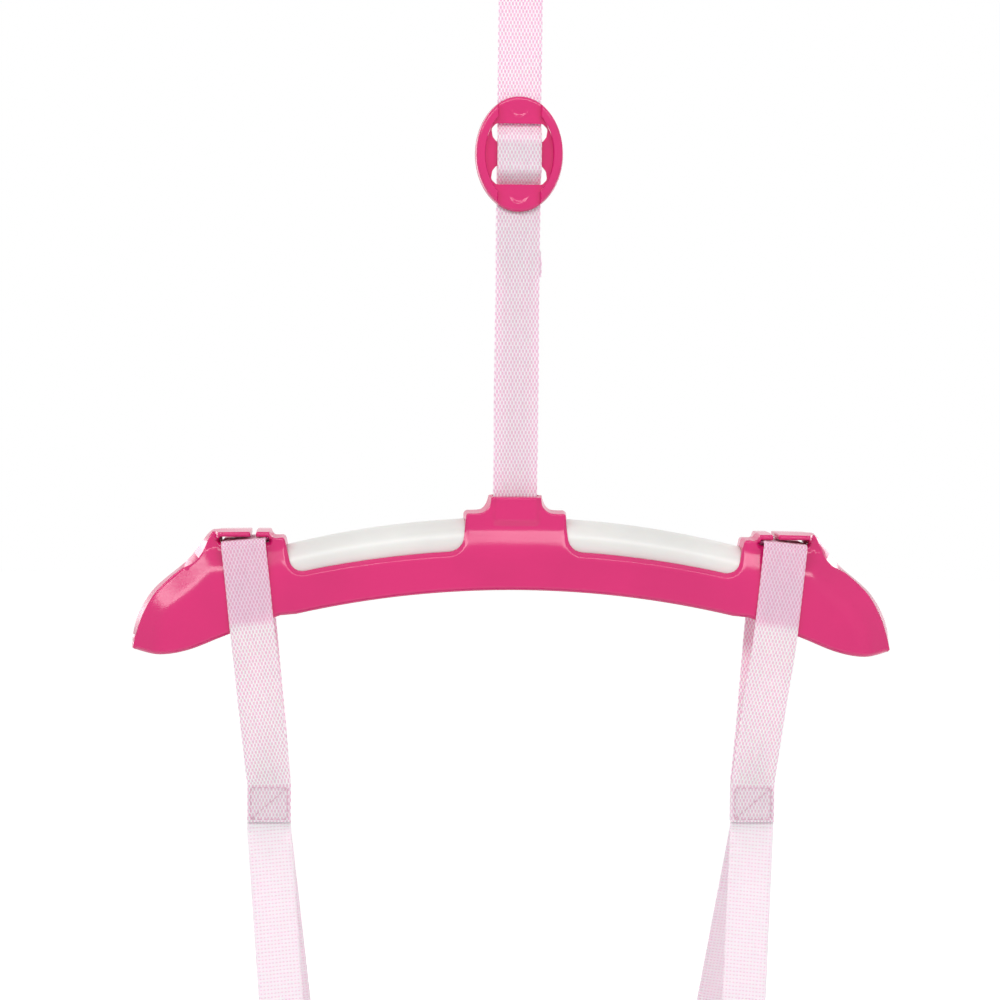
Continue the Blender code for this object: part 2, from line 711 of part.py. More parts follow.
def sleeve_profile(height):
    """Half section of the gathered cover, with a plain bore and rippled outside."""
    bore = COIL_RADIUS + WIRE_RADIUS + 2 * GAP
    outside = bore + SLEEVE_WALL + SLEEVE_RIPPLE
    count = 2 * SLEEVE_RIPPLES
    shape = []
    for i in range(count + 1):
        shape.append((outside - SLEEVE_RIPPLE * math.cos(math.pi * i), -height * i / count))
    return [*shape, (bore, -height), (bore, 0)]


def make_bounce_spring():
    """The spring unit: coil with hooks, cover, caps and the tether inside."""
    hang = frame("spring_hang", (0, 0, ROD_Z))
    path = bounce_spring_path()
    put(tube("bounce_spring", path, WIRE_RADIUS, 1), hang, steel)
    print("bounce spring clear gap mm", least_gap(path[12:-12], COIL_STEPS - 2, 2 * WIRE_RADIUS) / MM)
    seat = WIRE_RADIUS + GAP
    top = COIL_TOP_Z + seat
    bottom = COIL_BOTTOM_Z - seat
    lower = frame("spring_foot", (0, 0, bottom))
    cap_top = turned("spring_top_cap", cap_profile(1), CAP_STEPS)
    put(cap_top, hang, pink_plastic, place=(0, 0, top - ROD_Z))
    put(turned("spring_bottom_cap", cap_profile(-1), CAP_STEPS), lower, pink_plastic)
    skirt = CAP_HEIGHT - CAP_PLATE
    start = top - skirt - GAP
    height = start - (bottom + skirt + GAP)
    put(turned("spring_sleeve", sleeve_profile(height), SLEEVE_STEPS), hang, pink_fabric,
        place=(0, 0, start - ROD_Z))
    make_tether(hang)


def make_tether(hang):
    """A cord inside the coil, slack at rest, from the hanger's rod to the strap ring."""
    over_rod = ROD_RADIUS + GAP + TETHER_RADIUS
    under_ring = RING_ROD_RADIUS + GAP + TETHER_RADIUS
    ring = RING_TOP_Z - ROD_Z
    x = -TETHER_OFFSET
    count = 4 * TETHER_WAVES
    top, bottom = COIL_TOP_Z - ROD_Z, COIL_BOTTOM_Z - ROD_Z
    waves = [
        (x + TETHER_RADIUS * i / count, TETHER_WAVE * math.sin(math.tau * TETHER_WAVES * i / count),
         top + (bottom - top) * i / count)
        for i in range(count + 1)
    ]
    turns = [QUARTER_TURN * (i - 1) / 3 for i in range(8)]
    over = [(x, over_rod * math.cos(a), over_rod * math.sin(a)) for a in turns]
    under = [(x + TETHER_RADIUS, under_ring * math.cos(a), ring - under_ring * math.sin(a))
             for a in reversed(turns)]
    path = [*over, *smooth_through(waves, 2), *under]
    put(tube("safety_tether", path, TETHER_RADIUS, 1), hang, white_fabric)


def make_strap_ring():
    """The steel ring between the spring's lower hook and the webbing."""
    middle = frame("strap_ring_frame", (0, 0, RING_TOP_Z - RING_HALF_HEIGHT))
    half = WEB_WIDTH / 2 + RING_SIDE_PLAY + RING_ROD_RADIUS
    corners = [(half * a, RING_HALF_HEIGHT * b, RING_CORNER)
               for a, b in ((1, 1), (1, -1), (-1, -1), (-1, 1))]
    path = [(x, 0, z) for x, z in rounded(corners, 3)]
    put(tube("strap_ring", path, RING_ROD_RADIUS, 2, closed=True), middle, steel)
    return middle


# Webbing from the ring to the bar

ACROSS = Vector((1, 0, 0))


def level(points):
    """Stations with the webbing's width along X, from (y, z) points."""
    return [(Vector((0, y, z)), ACROSS) for y, z in points]


def make_upper_strap():
    """From its sewn loop on the ring down to the adjuster."""
    hold = frame("upper_strap_hold", (0, 0, RING_BOTTOM_Z))
    wrap = RING_ROD_RADIUS + GAP + WEB_THICK / 2
    front = ADJUSTER_Y + LAYER_MAIN
    end = -STRAP_ABOVE_ADJUSTER + STRAP_PAST_ADJUSTER + GAP
    tail = [(front + WEB_PITCH, -SEWN_TAIL), (front + WEB_PITCH, -SEWN_TAIL / 2)]
    loop = [(wrap * math.cos(a), wrap * math.sin(a))
            for a in [-QUARTER_TURN / 3 + i * (math.pi + 2 * QUARTER_TURN / 3) / 8 for i in range(9)]]
    run = [(front, -SEWN_TAIL / 2), (front, -SEWN_TAIL), (front, end)]
    put(ribbon("upper_strap", level([*tail, *loop, *run]), WEB_WIDTH, WEB_THICK), hold, pale_webbing)


def adjuster_slot(side):
    """Outline of one webbing slot, above (+1) or below (-1) the crossbar."""
    far = CROSSBAR_HALF + SLOT_HEIGHT
    middle = CROSSBAR_HALF + SLOT_HEIGHT / 2
    right = [(SLOT_HALF_TOP, far), (SLOT_HALF_MIDDLE, middle), (SLOT_HALF_BAR, CROSSBAR_HALF)]
    corners = [(x, z, SLOT_CORNER) for x, z in right] + [(-x, z, SLOT_CORNER) for x, z in right[::-1]]
    return [(x, side * z) for x, z in rounded(corners, 2)]


def ellipse(half_width, half_height, steps):
    """An ellipse about the middle."""
    return [(half_width * math.cos(math.tau * i / steps), half_height * math.sin(math.tau * i / steps))
            for i in range(steps)]


def crescent(side):
    """Outline of one side rim of the buckle, between two ellipses."""
    inset = ADJUSTER_RIM_INSET
    outer = (ADJUSTER_HALF_WIDTH - inset, ADJUSTER_HALF_HEIGHT - inset)
    inner = (ADJUSTER_HALF_WIDTH - ADJUSTER_RIM_WIDTH, ADJUSTER_HALF_HEIGHT - ADJUSTER_RIM_WIDTH)
    found = []
    for (half_width, half_height), way in ((outer, 1), (inner, -1)):
        end = math.acos(ADJUSTER_RIM_GAP_HALF / half_width)
        count = ADJUSTER_STEPS // 3
        found += [(half_width * math.cos(t), half_height * math.sin(t))
                  for t in [way * end * (2 * i / count - 1) for i in range(count + 1)]]
    return [(side * x, z) for x, z in found]


def make_adjuster():
    """The oval buckle: plate, two raised side rims, two slots, thumb marks."""
    middle = frame("adjuster_frame", (0, ADJUSTER_Y, ADJUSTER_Z))
    oval = ellipse(ADJUSTER_HALF_WIDTH, ADJUSTER_HALF_HEIGHT, ADJUSTER_STEPS)
    plate = as_mesh(put(flat_form("adjuster_buckle", oval, ADJUSTER_PLATE / 2, ADJUSTER_EDGE, 1),
                        middle, pink_plastic, turn=FACING_FRONT))
    rim_depth = (ADJUSTER_RIM_RISE + ADJUSTER_PLATE / 2) / 2
    mark_z = (CROSSBAR_HALF + SLOT_HEIGHT + ADJUSTER_HALF_HEIGHT) / 2
    front = -ADJUSTER_PLATE / 2
    for side in (1, -1):
        rim = flat_form(f"adjuster_rim_{side}", crescent(side), rim_depth, ADJUSTER_EDGE, 1)
        rim = as_mesh(put(rim, middle, as_cutter=True, place=(0, -rim_depth, 0), turn=FACING_FRONT))
        combine(plate, rim, "UNION")
        slot = flat_form(f"adjuster_slot_{side}", adjuster_slot(side), 4 * rim_depth)
        slot = as_mesh(put(slot, middle, as_cutter=True, turn=FACING_FRONT))
        combine(plate, slot, "DIFFERENCE")
        mark = cylinder_between((0, front - THUMB_MARK_RISE, side * mark_z),
                                (0, front + THUMB_MARK_RISE, side * mark_z),
                                THUMB_MARK_RADIUS, THUMB_MARK_SIDES)
        mark = put(mesh_object(f"adjuster_mark_{side}", mark), middle, as_cutter=True)
        combine(plate, mark, "UNION")
    return middle


def through_slot(shares, side):
    """Stations in a slot from shares of a layer's depth and of the slot's height."""
    return [(PLATE_BACK * depth, side * (CROSSBAR_HALF + SLOT_HEIGHT * height))
            for depth, height in shares]


def make_adjuster_webbing(middle):
    """The webbing's pass over the crossbar, and its sewn end round the crossbar."""
    past = ADJUSTER_HALF_HEIGHT + STRAP_PAST_ADJUSTER
    edge = CROSSBAR_HALF + SLOT_HEIGHT + WEB_PITCH
    down = smooth_through([
        (LAYER_MAIN, past), (LAYER_MAIN, edge), *through_slot(MAIN_SLOT_SHARES[::-1], 1),
        (-LAYER_FRONT, CROSSBAR_HALF / 2), (-LAYER_FRONT, -CROSSBAR_HALF / 2),
        *through_slot(MAIN_SLOT_SHARES, -1), (LAYER_MAIN, -edge), (LAYER_MAIN, -past),
    ], 2)
    put(ribbon("strap_over_adjuster", level(down), WEB_WIDTH, WEB_THICK), middle, pale_webbing)
    corners = [
        (side * ADJUSTER_PLATE / 2 + CORNER_LIFT * math.cos(a), CROSSBAR_HALF + CORNER_LIFT * math.sin(a))
        for side, start in ((1, 0), (-1, QUARTER_TURN))
        for a in [start + QUARTER_TURN * i / 2 for i in range(3)]
    ]
    front = -ADJUSTER_PLATE / 2 - CORNER_LIFT
    wrap = [
        (LAYER_REAR, -past), (LAYER_REAR, -edge), *through_slot(RISER_SLOT_SHARES, -1),
        (-front, -CROSSBAR_HALF / 2), *corners, (front, -CROSSBAR_HALF / 2),
        *through_slot(TAIL_SLOT_SHARES, -1), (LAYER_TAIL, -edge), (LAYER_TAIL, -past),
        (LAYER_TAIL, -END_TAIL),
    ]
    put(ribbon("strap_end_loop", level(smooth_through(wrap, 2)), WEB_WIDTH, WEB_THICK),
        middle, pale_webbing)


def make_lower_strap():
    """Down to the hub pin, round it and back up, as two layers of webbing."""
    pin = frame("hub_pin_axis", (0, 0, HUB_PIN_Z))
    wrap = HUB_PIN_RADIUS + GAP + WEB_THICK / 2
    top = ADJUSTER_Z - ADJUSTER_HALF_HEIGHT - STRAP_PAST_ADJUSTER - GAP - HUB_PIN_Z
    loop = [(-wrap * math.cos(a), -wrap * math.sin(a)) for a in [math.pi * i / 8 for i in range(9)]]
    front = ADJUSTER_Y + LAYER_MAIN
    rear = ADJUSTER_Y + LAYER_REAR
    down = [(front + (-wrap - front) * share, top * rise) for rise, share in LOWER_STRAP_SHARES[::-1]]
    up = [(rear + (wrap - rear) * share, top * rise) for rise, share in LOWER_STRAP_SHARES]
    put(ribbon("lower_strap", level([*down, *loop, *up]), WEB_WIDTH, WEB_THICK), pin, pale_webbing)
    half = WEB_WIDTH / 2 + NECK_SLOT_PLAY + HUB_PIN_SEAT
    rod = cylinder_between((-half, 0, 0), (half, 0, 0), HUB_PIN_RADIUS, PIN_SIDES)
    put(mesh_object("hub_pin", rod), pin, steel)


# Spreader bar, drawn from the top middle of its neck

def underside(x):
    """Height of the bar's lower edge."""
    return arched(x, BAR_UNDERSIDE_DROP, BAR_UNDERSIDE_RADIUS)


def window_lip(x):
    """Height of the lower edge of a window."""
    return arched(x, WINDOW_LIP_DROP, WINDOW_LIP_RADIUS)


def tube_centre(x):
    """Height of the white tube's middle line."""
    return arched(x, TUBE_TOP_DROP + TUBE_RADIUS, TUBE_ARCH_RADIUS)


def tip_point(shares):
    """A place on a tip from shares of its length and height."""
    return (TIP_START + TIP_LENGTH * shares[0], -SADDLE_DROP - TIP_HEIGHT * shares[1])


def keel_point(shares):
    """A place on the lower edge towards a tip, from shares of its length and fall."""
    start, end = underside(KEEL_START), -SADDLE_DROP - TIP_HEIGHT
    return (KEEL_START + (TIP_END - KEEL_START) * shares[0], start + (end - start) * shares[1])


def body_outline():
    """Front view of the bar without its neck and fingers."""
    shoulder = SHOULDER_HALF_WIDTH
    side = shoulder + SHOULDER_FLARE
    lip = [(x, window_lip(x), 0) for x in
           [side + (WINDOW_END - side) * i / 5 for i in range(1, 5)]]
    top = rounded([
        (0, -SHOULDER_DROP, 0),
        (shoulder, -SHOULDER_DROP, SHOULDER_CORNER),
        (side, window_lip(side), WINDOW_INNER_FILLET),
        *lip,
        (WINDOW_END, window_lip(WINDOW_END), WINDOW_OUTER_FILLET),
        (WINDOW_END + WINDOW_END_LEAN, -SADDLE_DROP, SHOULDER_CORNER),
        (TIP_START, -SADDLE_DROP, 0),
    ], 3)[1:-1]
    tip = smooth_through([tip_point(s) for s in TIP_TOP_SHARES], 2)
    keel = smooth_through([keel_point(s) for s in KEEL_SHARES], 2)[::-1][1:]
    belly = [(KEEL_START * i / 6, underside(KEEL_START * i / 6)) for i in range(5, 0, -1)]
    right = [tuple(p) for p in [*top, *tip, *keel, *belly]]
    return mirrored_ends(right)


def hook_outlines(side):
    """The two fingers that close a hook, with their bosses."""
    finger_top = -SADDLE_DROP + HOOK_SLOT_HEIGHT + FINGER_THICK
    finger_under = finger_top - FINGER_THICK
    root = -SADDLE_DROP - HOOK_ROOT
    slot_end = HOOK_SLOT_END
    short_tip = HOOK_SLOT_START + SHORT_FINGER
    long_tip = short_tip + FINGER_GAP
    edge = BAR_EDGE_SMALL
    boss = HOOK_SLOT_START - BOSS_WIDTH
    outer = slot_end + OUTER_BOSS_WIDTH
    inner_form = [
        (boss, root, 0), (boss, -BOSS_DROP, 2 * edge),
        (boss + BOSS_WIDTH * BOSS_FLAT_SHARE, -BOSS_DROP, edge), (HOOK_SLOT_START, finger_top, edge),
        (short_tip, finger_top, edge), (short_tip, finger_under, edge),
        (HOOK_SLOT_START, finger_under, 0), (HOOK_SLOT_START, root, 0),
    ]
    outer_form = [
        (long_tip, finger_top, edge),
        (slot_end + OUTER_BOSS_WIDTH * OUTER_BOSS_FLAT_SHARE, finger_top, 3 * edge),
        (outer, -SADDLE_DROP, 2 * edge), (outer, root, 0), (slot_end, root, 0),
        (slot_end, finger_under, 0), (long_tip, finger_under, edge),
    ]
    return [[(side * x, z) for x, z in rounded(form, 2)] for form in (inner_form, outer_form)]


def tip_pocket(side):
    """The hollow in a tip of the bar, as shares of the tip's length and height."""
    start = HOOK_SLOT_END + RIB_WIDTH
    length = TIP_END - start
    corners = [(side * (start + length * a), -SADDLE_DROP - TIP_HEIGHT * b, POCKET_CORNER)
               for a, b in TIP_POCKET_SHARES]
    return rounded(corners, 1)


def pocket_outlines():
    """The hollows of the bar between its ribs."""
    hub_side = SHOULDER_HALF_WIDTH - BAR_WALL
    levels = (tube_centre(0), underside(0) + BAR_WALL)
    hub = [(hub_side * a, levels[b], POCKET_CORNER) for a, b in ((1, 0), (1, 1), (-1, 1), (-1, 0))]
    found = [rounded(hub, 1)]
    for side in (1, -1):
        near, far = SHOULDER_HALF_WIDTH + WINDOW_INNER_FILLET, WINDOW_END - BAR_WALL
        spots = [near + (far - near) * i / 3 for i in range(4)]
        above = [(side * x, window_lip(x) - BAR_WALL, 0) for x in spots]
        below = [(side * x, underside(x) + BAR_WALL, 0) for x in reversed(spots)]
        found.append(rounded([*above, *below], 1))
        near, far = WINDOW_END + RIB_WIDTH - BAR_WALL, HOOK_SLOT_END
        foot = keel_point(KEEL_SHARES[1])[1] + BAR_WALL
        found.append(rounded([
            (side * near, -SADDLE_DROP - BAR_WALL - HOOK_ROOT, POCKET_CORNER),
            (side * far, -SADDLE_DROP - BAR_WALL - HOOK_ROOT, POCKET_CORNER),
            (side * far, foot, POCKET_CORNER), (side * near, underside(near) + BAR_WALL, POCKET_CORNER),
        ], 1))
        found.append(tip_pocket(side))
    return found


def screw_places():
    """Where the six screws go, as (x, z)."""
    found = []
    for x in SCREW_PLACES:
        low = underside(x) + BAR_WALL
        high = tube_centre(x) - TUBE_RADIUS - GAP
        found.append((x, (low + high) / 2))
    found.append((TUBE_HALF_LENGTH + TIP_SCREW_PAST_TUBE,
                  tube_centre(TUBE_HALF_LENGTH) - TIP_SCREW_BELOW_TUBE))
    return [(side * x, z) for side in (1, -1) for x, z in found]


def core_tube_path(half_length):
    """Points along the white tube's arch, so far to each side."""
    places = [half_length * i / TUBE_STEPS for i in range(-TUBE_STEPS, TUBE_STEPS + 1)]
    return [(x, 0, tube_centre(x)) for x in places]


def posts(radius, start, end):
    """Cylinders along Y at each screw."""
    return together(*[
        cylinder_between((x, start, z), (x, end, z), radius, SCREW_SIDES) for x, z in screw_places()
    ])


def make_bar_half(name, side, carrier, place):
    """One shell of the bar: front for side -1, back for side +1."""
    half = BAR_HALF_DEPTH
    shell = as_mesh(put(flat_form(name, body_outline(), half, BAR_EDGE, 1), carrier, pink_plastic,
                        place=place, turn=FACING_FRONT))
    joined = []
    for end in (1, -1):
        for i, outline in enumerate(hook_outlines(end)):
            joined.append(flat_form(f"{name}_hook_{end}_{i}", outline, half - HOOK_INSET,
                                    BAR_EDGE_SMALL / 2, 1))
    neck_bottom = -SHOULDER_DROP - NECK_ROOT
    corners = [(NECK_HALF_WIDTH * a, b, c) for a, b, c in
               ((1, 0, NECK_CORNER), (1, neck_bottom, 0), (-1, neck_bottom, 0), (-1, 0, NECK_CORNER))]
    joined.append(flat_form(name + "_neck", rounded(corners, 2), NECK_HALF_DEPTH, NECK_EDGE, 1))
    for form in joined:
        form = as_mesh(put(form, carrier, as_cutter=True, place=place, turn=FACING_FRONT))
        combine(shell, form, "UNION")

    passage = WEB_WIDTH / 2 + NECK_SLOT_PLAY
    loop_room = HUB_PIN_RADIUS + GAP + WEB_THICK + NECK_SLOT_PLAY
    wide = TIP_END + TIP_LENGTH
    depth = sorted((side * GAP / 2, -side * wide))
    pin_half = passage + HUB_PIN_SEAT + GAP
    cuts = {
        "other_half": box_between((-wide, depth[0], -wide), (wide, depth[1], wide)),
        "strap_room": box_between((-passage, -loop_room, -TUBE_TOP_DROP - GAP),
                                  (passage, loop_room, OVERRUN)),
        "pin_seat": cylinder_between((-pin_half, 0, -HUB_PIN_DROP), (pin_half, 0, -HUB_PIN_DROP),
                                     HUB_PIN_RADIUS + GAP, PIN_SIDES),
    }
    for label, build in cuts.items():
        cutter = put(mesh_object(f"{name}_{label}", build), carrier, as_cutter=True, place=place)
        combine(shell, cutter, "DIFFERENCE")
    core = tube(name + "_core_room", core_tube_path(TUBE_HALF_LENGTH + GAP), TUBE_RADIUS + GAP, 4)
    combine(shell, as_mesh(put(core, carrier, as_cutter=True, place=place)), "DIFFERENCE")
    for i, outline in enumerate(pocket_outlines()):
        pocket = flat_form(f"{name}_pocket_{i}", outline, half - BAR_WALL)
        combine(shell, as_mesh(put(pocket, carrier, as_cutter=True, place=place, turn=FACING_FRONT)),
                "DIFFERENCE")
    widest, reach = (SCREW_SHANK, SCREW_REACH) if side < 0 else (SCREW_HEAD, half)
    works = [
        ("posts", "UNION",
         posts(widest + GAP + BOSS_POST_WALL, side * GAP / 2, side * (half - BAR_WALL / 2))),
        ("screw_holes", "DIFFERENCE",
         posts(SCREW_SHANK + GAP, -side * OVERRUN, side * (reach + OVERRUN))),
    ]
    if side > 0:
        works.append(("head_room", "DIFFERENCE",
                      posts(SCREW_HEAD + GAP, SCREW_HEAD_DEPTH - GAP, half + OVERRUN)))
    for label, operation, build in works:
        tool = put(mesh_object(f"{name}_{label}", build), carrier, as_cutter=True, place=place)
        combine(shell, tool, operation)


def make_bar():
    """Front and back shells, core tube and screws."""
    axis = frame("bar_axis", (0, 0, HUB_PIN_Z))
    place = (0, 0, BAR_Z - HUB_PIN_Z)
    make_bar_half("bar_front_shell", -1, axis, place)
    make_bar_half("bar_back_shell", 1, axis, place)
    core = tube("bar_core_tube", core_tube_path(TUBE_HALF_LENGTH), TUBE_RADIUS, 4)
    put(core, axis, white_plastic, place=place)
    for i, (x, z) in enumerate(screw_places(), 1):
        shank = cylinder_between((x, -SCREW_REACH, z), (x, SCREW_HEAD_DEPTH + SCREW_HEAD_THICK / 2, z),
                                 SCREW_SHANK, SCREW_SIDES)
        head = cylinder_between((x, SCREW_HEAD_DEPTH, z), (x, SCREW_HEAD_DEPTH + SCREW_HEAD_THICK, z),
                                SCREW_HEAD, SCREW_SIDES)
        screw = put(mesh_object(f"bar_screw_{i}", shank), axis, steel, place=place)
        combine(screw, put(mesh_object(f"bar_screw_{i}_head", head), axis, as_cutter=True, place=place),
                "UNION")


# Side loops and seat straps

def hoop_point(x):
    """Distance to the back of the hoop's centre line at a distance x to the side, and its turn there."""
    over = max(0.0, x - (HOOP_HALF_X - HOOP_CORNER))
    y = HOOP_HALF_Y - HOOP_CORNER + math.sqrt(HOOP_CORNER**2 - over**2)
    return y, math.asin(over / HOOP_CORNER)


def make_side_webbing(name, side):
    """One side's hanging loop and the seat strap that is sewn between its ends."""
    saddle = frame(name + "_saddle", (0, 0, SADDLE_Z))
    centre = side * (HOOK_SLOT_START + HOOK_SLOT_WIDTH / 2)
    lean = side * LOOP_LEAN / LOOP_DROP
    lift = GAP + WEB_THICK / 2
    face = BAR_HALF_DEPTH + lift
    bend = BAR_EDGE + lift
    flat = BAR_HALF_DEPTH - BAR_EDGE
    seam_top, seam_end = -LOOP_DROP, -LOOP_DROP - LOOP_SEAM_HEIGHT
    outer = WEB_PITCH * 3 / 2
    below_bar = SADDLE_DROP + keel_point(KEEL_SHARES[1])[1]

    def centre_at(z):
        return centre + lean * max(seam_top, min(0.0, z))

    leg = [(outer, seam_end), (outer, seam_top), (outer, seam_top + WEB_PITCH * 2)]
    rise = [(face, below_bar), (face, below_bar / 2)]
    corner = [(flat + bend * math.cos(a), -BAR_EDGE + bend * math.sin(a))
              for a in [QUARTER_TURN * i / 4 for i in range(5)]]
    half = [*leg, *rise, *corner]
    path = [(-y, z) for y, z in half] + [(y, z) for y, z in reversed(half)]
    stations = [(Vector((centre_at(z), y, z)), Vector((1, 0, -lean if z < 0 else 0))) for y, z in path]
    put(ribbon(name + "_hanging_loop", stations, WEB_WIDTH, WEB_THICK), saddle, pale_webbing)

    inner = WEB_PITCH / 2
    fold = [(inner * math.cos(a), seam_top - GAP - inner + inner * math.sin(a))
            for a in [math.pi * i / 6 for i in range(7)]]
    top = [(Vector((centre_at(z), y, z)), ACROSS) for y, z in fold]
    seam_place = Vector((centre_at(seam_end), 0, seam_end - 2 * WEB_PITCH))
    back, front = [seat_strap_run(side, way, seam_place) for way in (1, -1)]
    both = [*reversed(back), *top, *front]
    put(ribbon(name + "_seat_strap", both, WEB_WIDTH, WEB_THICK), saddle, pale_webbing)


def seat_strap_run(side, way, seam_place):
    """Stations of one seat strap, in the back (+1) or front (-1), from its seam round the hoop."""
    y_hoop, twist = hoop_point(STRAP_HALF_SPREAD)
    wrap = HOOP_RADIUS + STRAP_HOOP_PLAY + WEB_THICK / 2
    up = Vector((0, 0, wrap))
    across = Vector((math.cos(twist), -way * side * math.sin(twist), 0))
    outward = Vector((side * math.sin(twist), way * math.cos(twist), 0))
    hub = Vector((side * STRAP_HALF_SPREAD, way * y_hoop, HOOP_Z - SADDLE_Z))
    start = seam_place + Vector((0, way * WEB_PITCH / 2, 0))
    end = hub + outward * wrap + up
    run = [(start.lerp(end, i / STRAP_WRAP_STEPS), ACROSS.lerp(across, i / STRAP_WRAP_STEPS))
           for i in range(STRAP_WRAP_STEPS + 1)]
    under = [(hub + outward * wrap * math.cos(a) - up * math.sin(a), across)
             for a in [math.pi * i / STRAP_WRAP_STEPS for i in range(STRAP_WRAP_STEPS + 1)]]
    inside = end - outward * WEB_PITCH * 1.3
    upward = (start - end).normalized() * STRAP_WRAP_TAIL
    tail = [(hub - outward * wrap + up, across), (inside + upward, across), (inside + upward * 2, across)]
    return [*run, *under, *tail]


# Seat

def rounded_rectangle(half_x, half_y, corner):
    """A rounded rectangle seen from above, as (x, y)."""
    corners = [(half_x * a, half_y * b, corner) for a, b in ((1, 1), (1, -1), (-1, -1), (-1, 1))]
    return rounded(corners, HOOP_CORNER_STEPS)


def hoop_stretch(start, end):
    """Places along the hoop between two distances, with one at each of its stations."""
    bend = QUARTER_TURN * HOOP_CORNER
    straight = HOOP_HALF_X - HOOP_CORNER
    half_way = 2 * (straight + bend + HOOP_HALF_Y - HOOP_CORNER)
    corner = [straight + bend * i / HOOP_CORNER_STEPS for i in range(HOOP_CORNER_STEPS + 1)]
    right = [*corner, *[half_way - d for d in corner]]
    between = sorted(d for d in [*right, *[-d for d in right]] if start < d < end)
    return [hoop_at(d) for d in [start, *between, end]]


def hoop_at(distance):
    """The place on the hoop's line so far round from its front middle, first towards +X."""
    long_side, short_side = HOOP_HALF_X - HOOP_CORNER, HOOP_HALF_Y - HOOP_CORNER
    bend = QUARTER_TURN * HOOP_CORNER
    quarter = long_side + bend + short_side
    if distance < 0:
        mirror = hoop_at(-distance)
        return Vector((-mirror.x, mirror.y, 0))
    if distance > quarter:
        mirror = hoop_at(2 * quarter - distance)
        return Vector((mirror.x, -mirror.y, 0))
    if distance <= long_side:
        return Vector((distance, -HOOP_HALF_Y, 0))
    if distance >= long_side + bend:
        return Vector((HOOP_HALF_X, distance - quarter, 0))
    angle = (distance - long_side) / HOOP_CORNER
    corner = Vector((math.sin(angle), -math.cos(angle), 0)) * HOOP_CORNER
    return corner + Vector((long_side, -short_side, 0))


def make_rim_pad(name, start, end, turn, carrier):
    """A padded roll round one stretch of the hoop, with a bore for it."""
    skin = tube(name, hoop_stretch(start, end), RIM_PAD_RADIUS, 2)
    skin.data.use_fill_caps = False
    pad = as_mesh(put(skin, carrier, pink_fabric, turn=(0, 0, turn)))
    wall = pad.modifiers.new("wall", "SOLIDIFY")
    wall.thickness = RIM_PAD_RADIUS - HOOP_RADIUS - RIM_PAD_PLAY
    wall.offset = -1
    wall.use_even_offset = True
    return pad


def make_waist_panel(carrier):
    """The padded band below the rim."""
    top = GAP - RIM_PAD_RADIUS

    def build(work):
        rows = []
        for share in (0, 0.5, 1):
            inset = PANEL_INSET + PANEL_TAPER * share
            outline = rounded_rectangle(HOOP_HALF_X - inset, HOOP_HALF_Y - inset, HOOP_CORNER - inset)
            rows.append([work.verts.new((x, y, top - PANEL_HEIGHT * share)) for x, y in outline])
        for upper, lower in zip(rows, rows[1:]):
            for i in range(len(upper)):
                j = (i + 1) % len(upper)
                work.faces.new((upper[i], upper[j], lower[j], lower[i]))

    panel = mesh_object("seat_waist_panel", build)
    thicken(panel, PANEL_THICK)
    return put(panel, carrier, pale_fabric)


def sling_centre(t):
    """The sling's line from front to back, t from -1 to 1, as (y, z) below the hoop."""
    bottom = GAP - RIM_PAD_RADIUS - PANEL_HEIGHT
    depth = SLING_DROP + bottom
    taper = PANEL_TAPER * (1 - SLING_LAP / PANEL_HEIGHT)
    lap = HOOP_HALF_Y - PANEL_INSET - taper - PANEL_THICK / 2 - SLING_THICK / 2 - SLING_PLAY
    top = bottom + SLING_LAP
    angle = abs(t) * QUARTER_TURN
    y = lap * math.copysign(math.sin(angle) ** SLING_SIDE_POWER_SHARE, t)
    z = top - (depth + SLING_LAP) * max(0.0, math.cos(angle)) ** SLING_DIP_POWER_SHARE
    return y, z


def make_sling(carrier):
    """The crotch piece from the front of the waist panel to its back."""

    def build(work):
        rows = []
        for i in range(SLING_STEPS + 1):
            t = 2 * i / SLING_STEPS - 1
            y, z = sling_centre(t)
            flare = abs(t) ** SLING_FLARE_POWER_SHARE
            half = SLING_HALF_BOTTOM + (SLING_HALF_TOP - SLING_HALF_BOTTOM) * flare
            lift = SLING_EDGE_LIFT * (1 - t * t)
            row = []
            for k in range(SLING_COLUMNS + 1):
                across = 2 * k / SLING_COLUMNS - 1
                row.append(work.verts.new((half * across, y, z + lift * across**2)))
            rows.append(row)
        for one, two in zip(rows, rows[1:]):
            for k in range(SLING_COLUMNS):
                work.faces.new((one[k], one[k + 1], two[k + 1], two[k]))

    sling = mesh_object("seat_crotch_sling", build)
    thicken(sling, SLING_THICK)
    return put(sling, carrier, pale_fabric)


def make_seat():
    """Hoop, padded rim, waist panel and crotch sling."""
    seat = frame("seat_frame", (0, 0, HOOP_Z))
    outline = [(x, y, 0) for x, y in rounded_rectangle(HOOP_HALF_X, HOOP_HALF_Y, HOOP_CORNER)]
    put(tube("seat_hoop", outline, HOOP_RADIUS, 2, closed=True), seat, white_plastic)
    over = STRAP_HALF_SPREAD - (HOOP_HALF_X - HOOP_CORNER)
    strap = HOOP_HALF_X - HOOP_CORNER + HOOP_CORNER * math.asin(over / HOOP_CORNER)
    clear = WEB_WIDTH / 2 + RIM_PAD_GAP
    half_way = 2 * (HOOP_HALF_X + HOOP_HALF_Y - 2 * HOOP_CORNER + QUARTER_TURN * HOOP_CORNER)
    make_rim_pad("front_rim_pad", clear - strap, strap - clear, 0, seat)
    make_rim_pad("rear_rim_pad", clear - strap, strap - clear, math.pi, seat)
    make_rim_pad("right_rim_pad", strap + clear, half_way - strap - clear, 0, seat)
    make_rim_pad("left_rim_pad", strap + clear, half_way - strap - clear, math.pi, seat)
    make_waist_panel(seat)
    make_sling(seat)


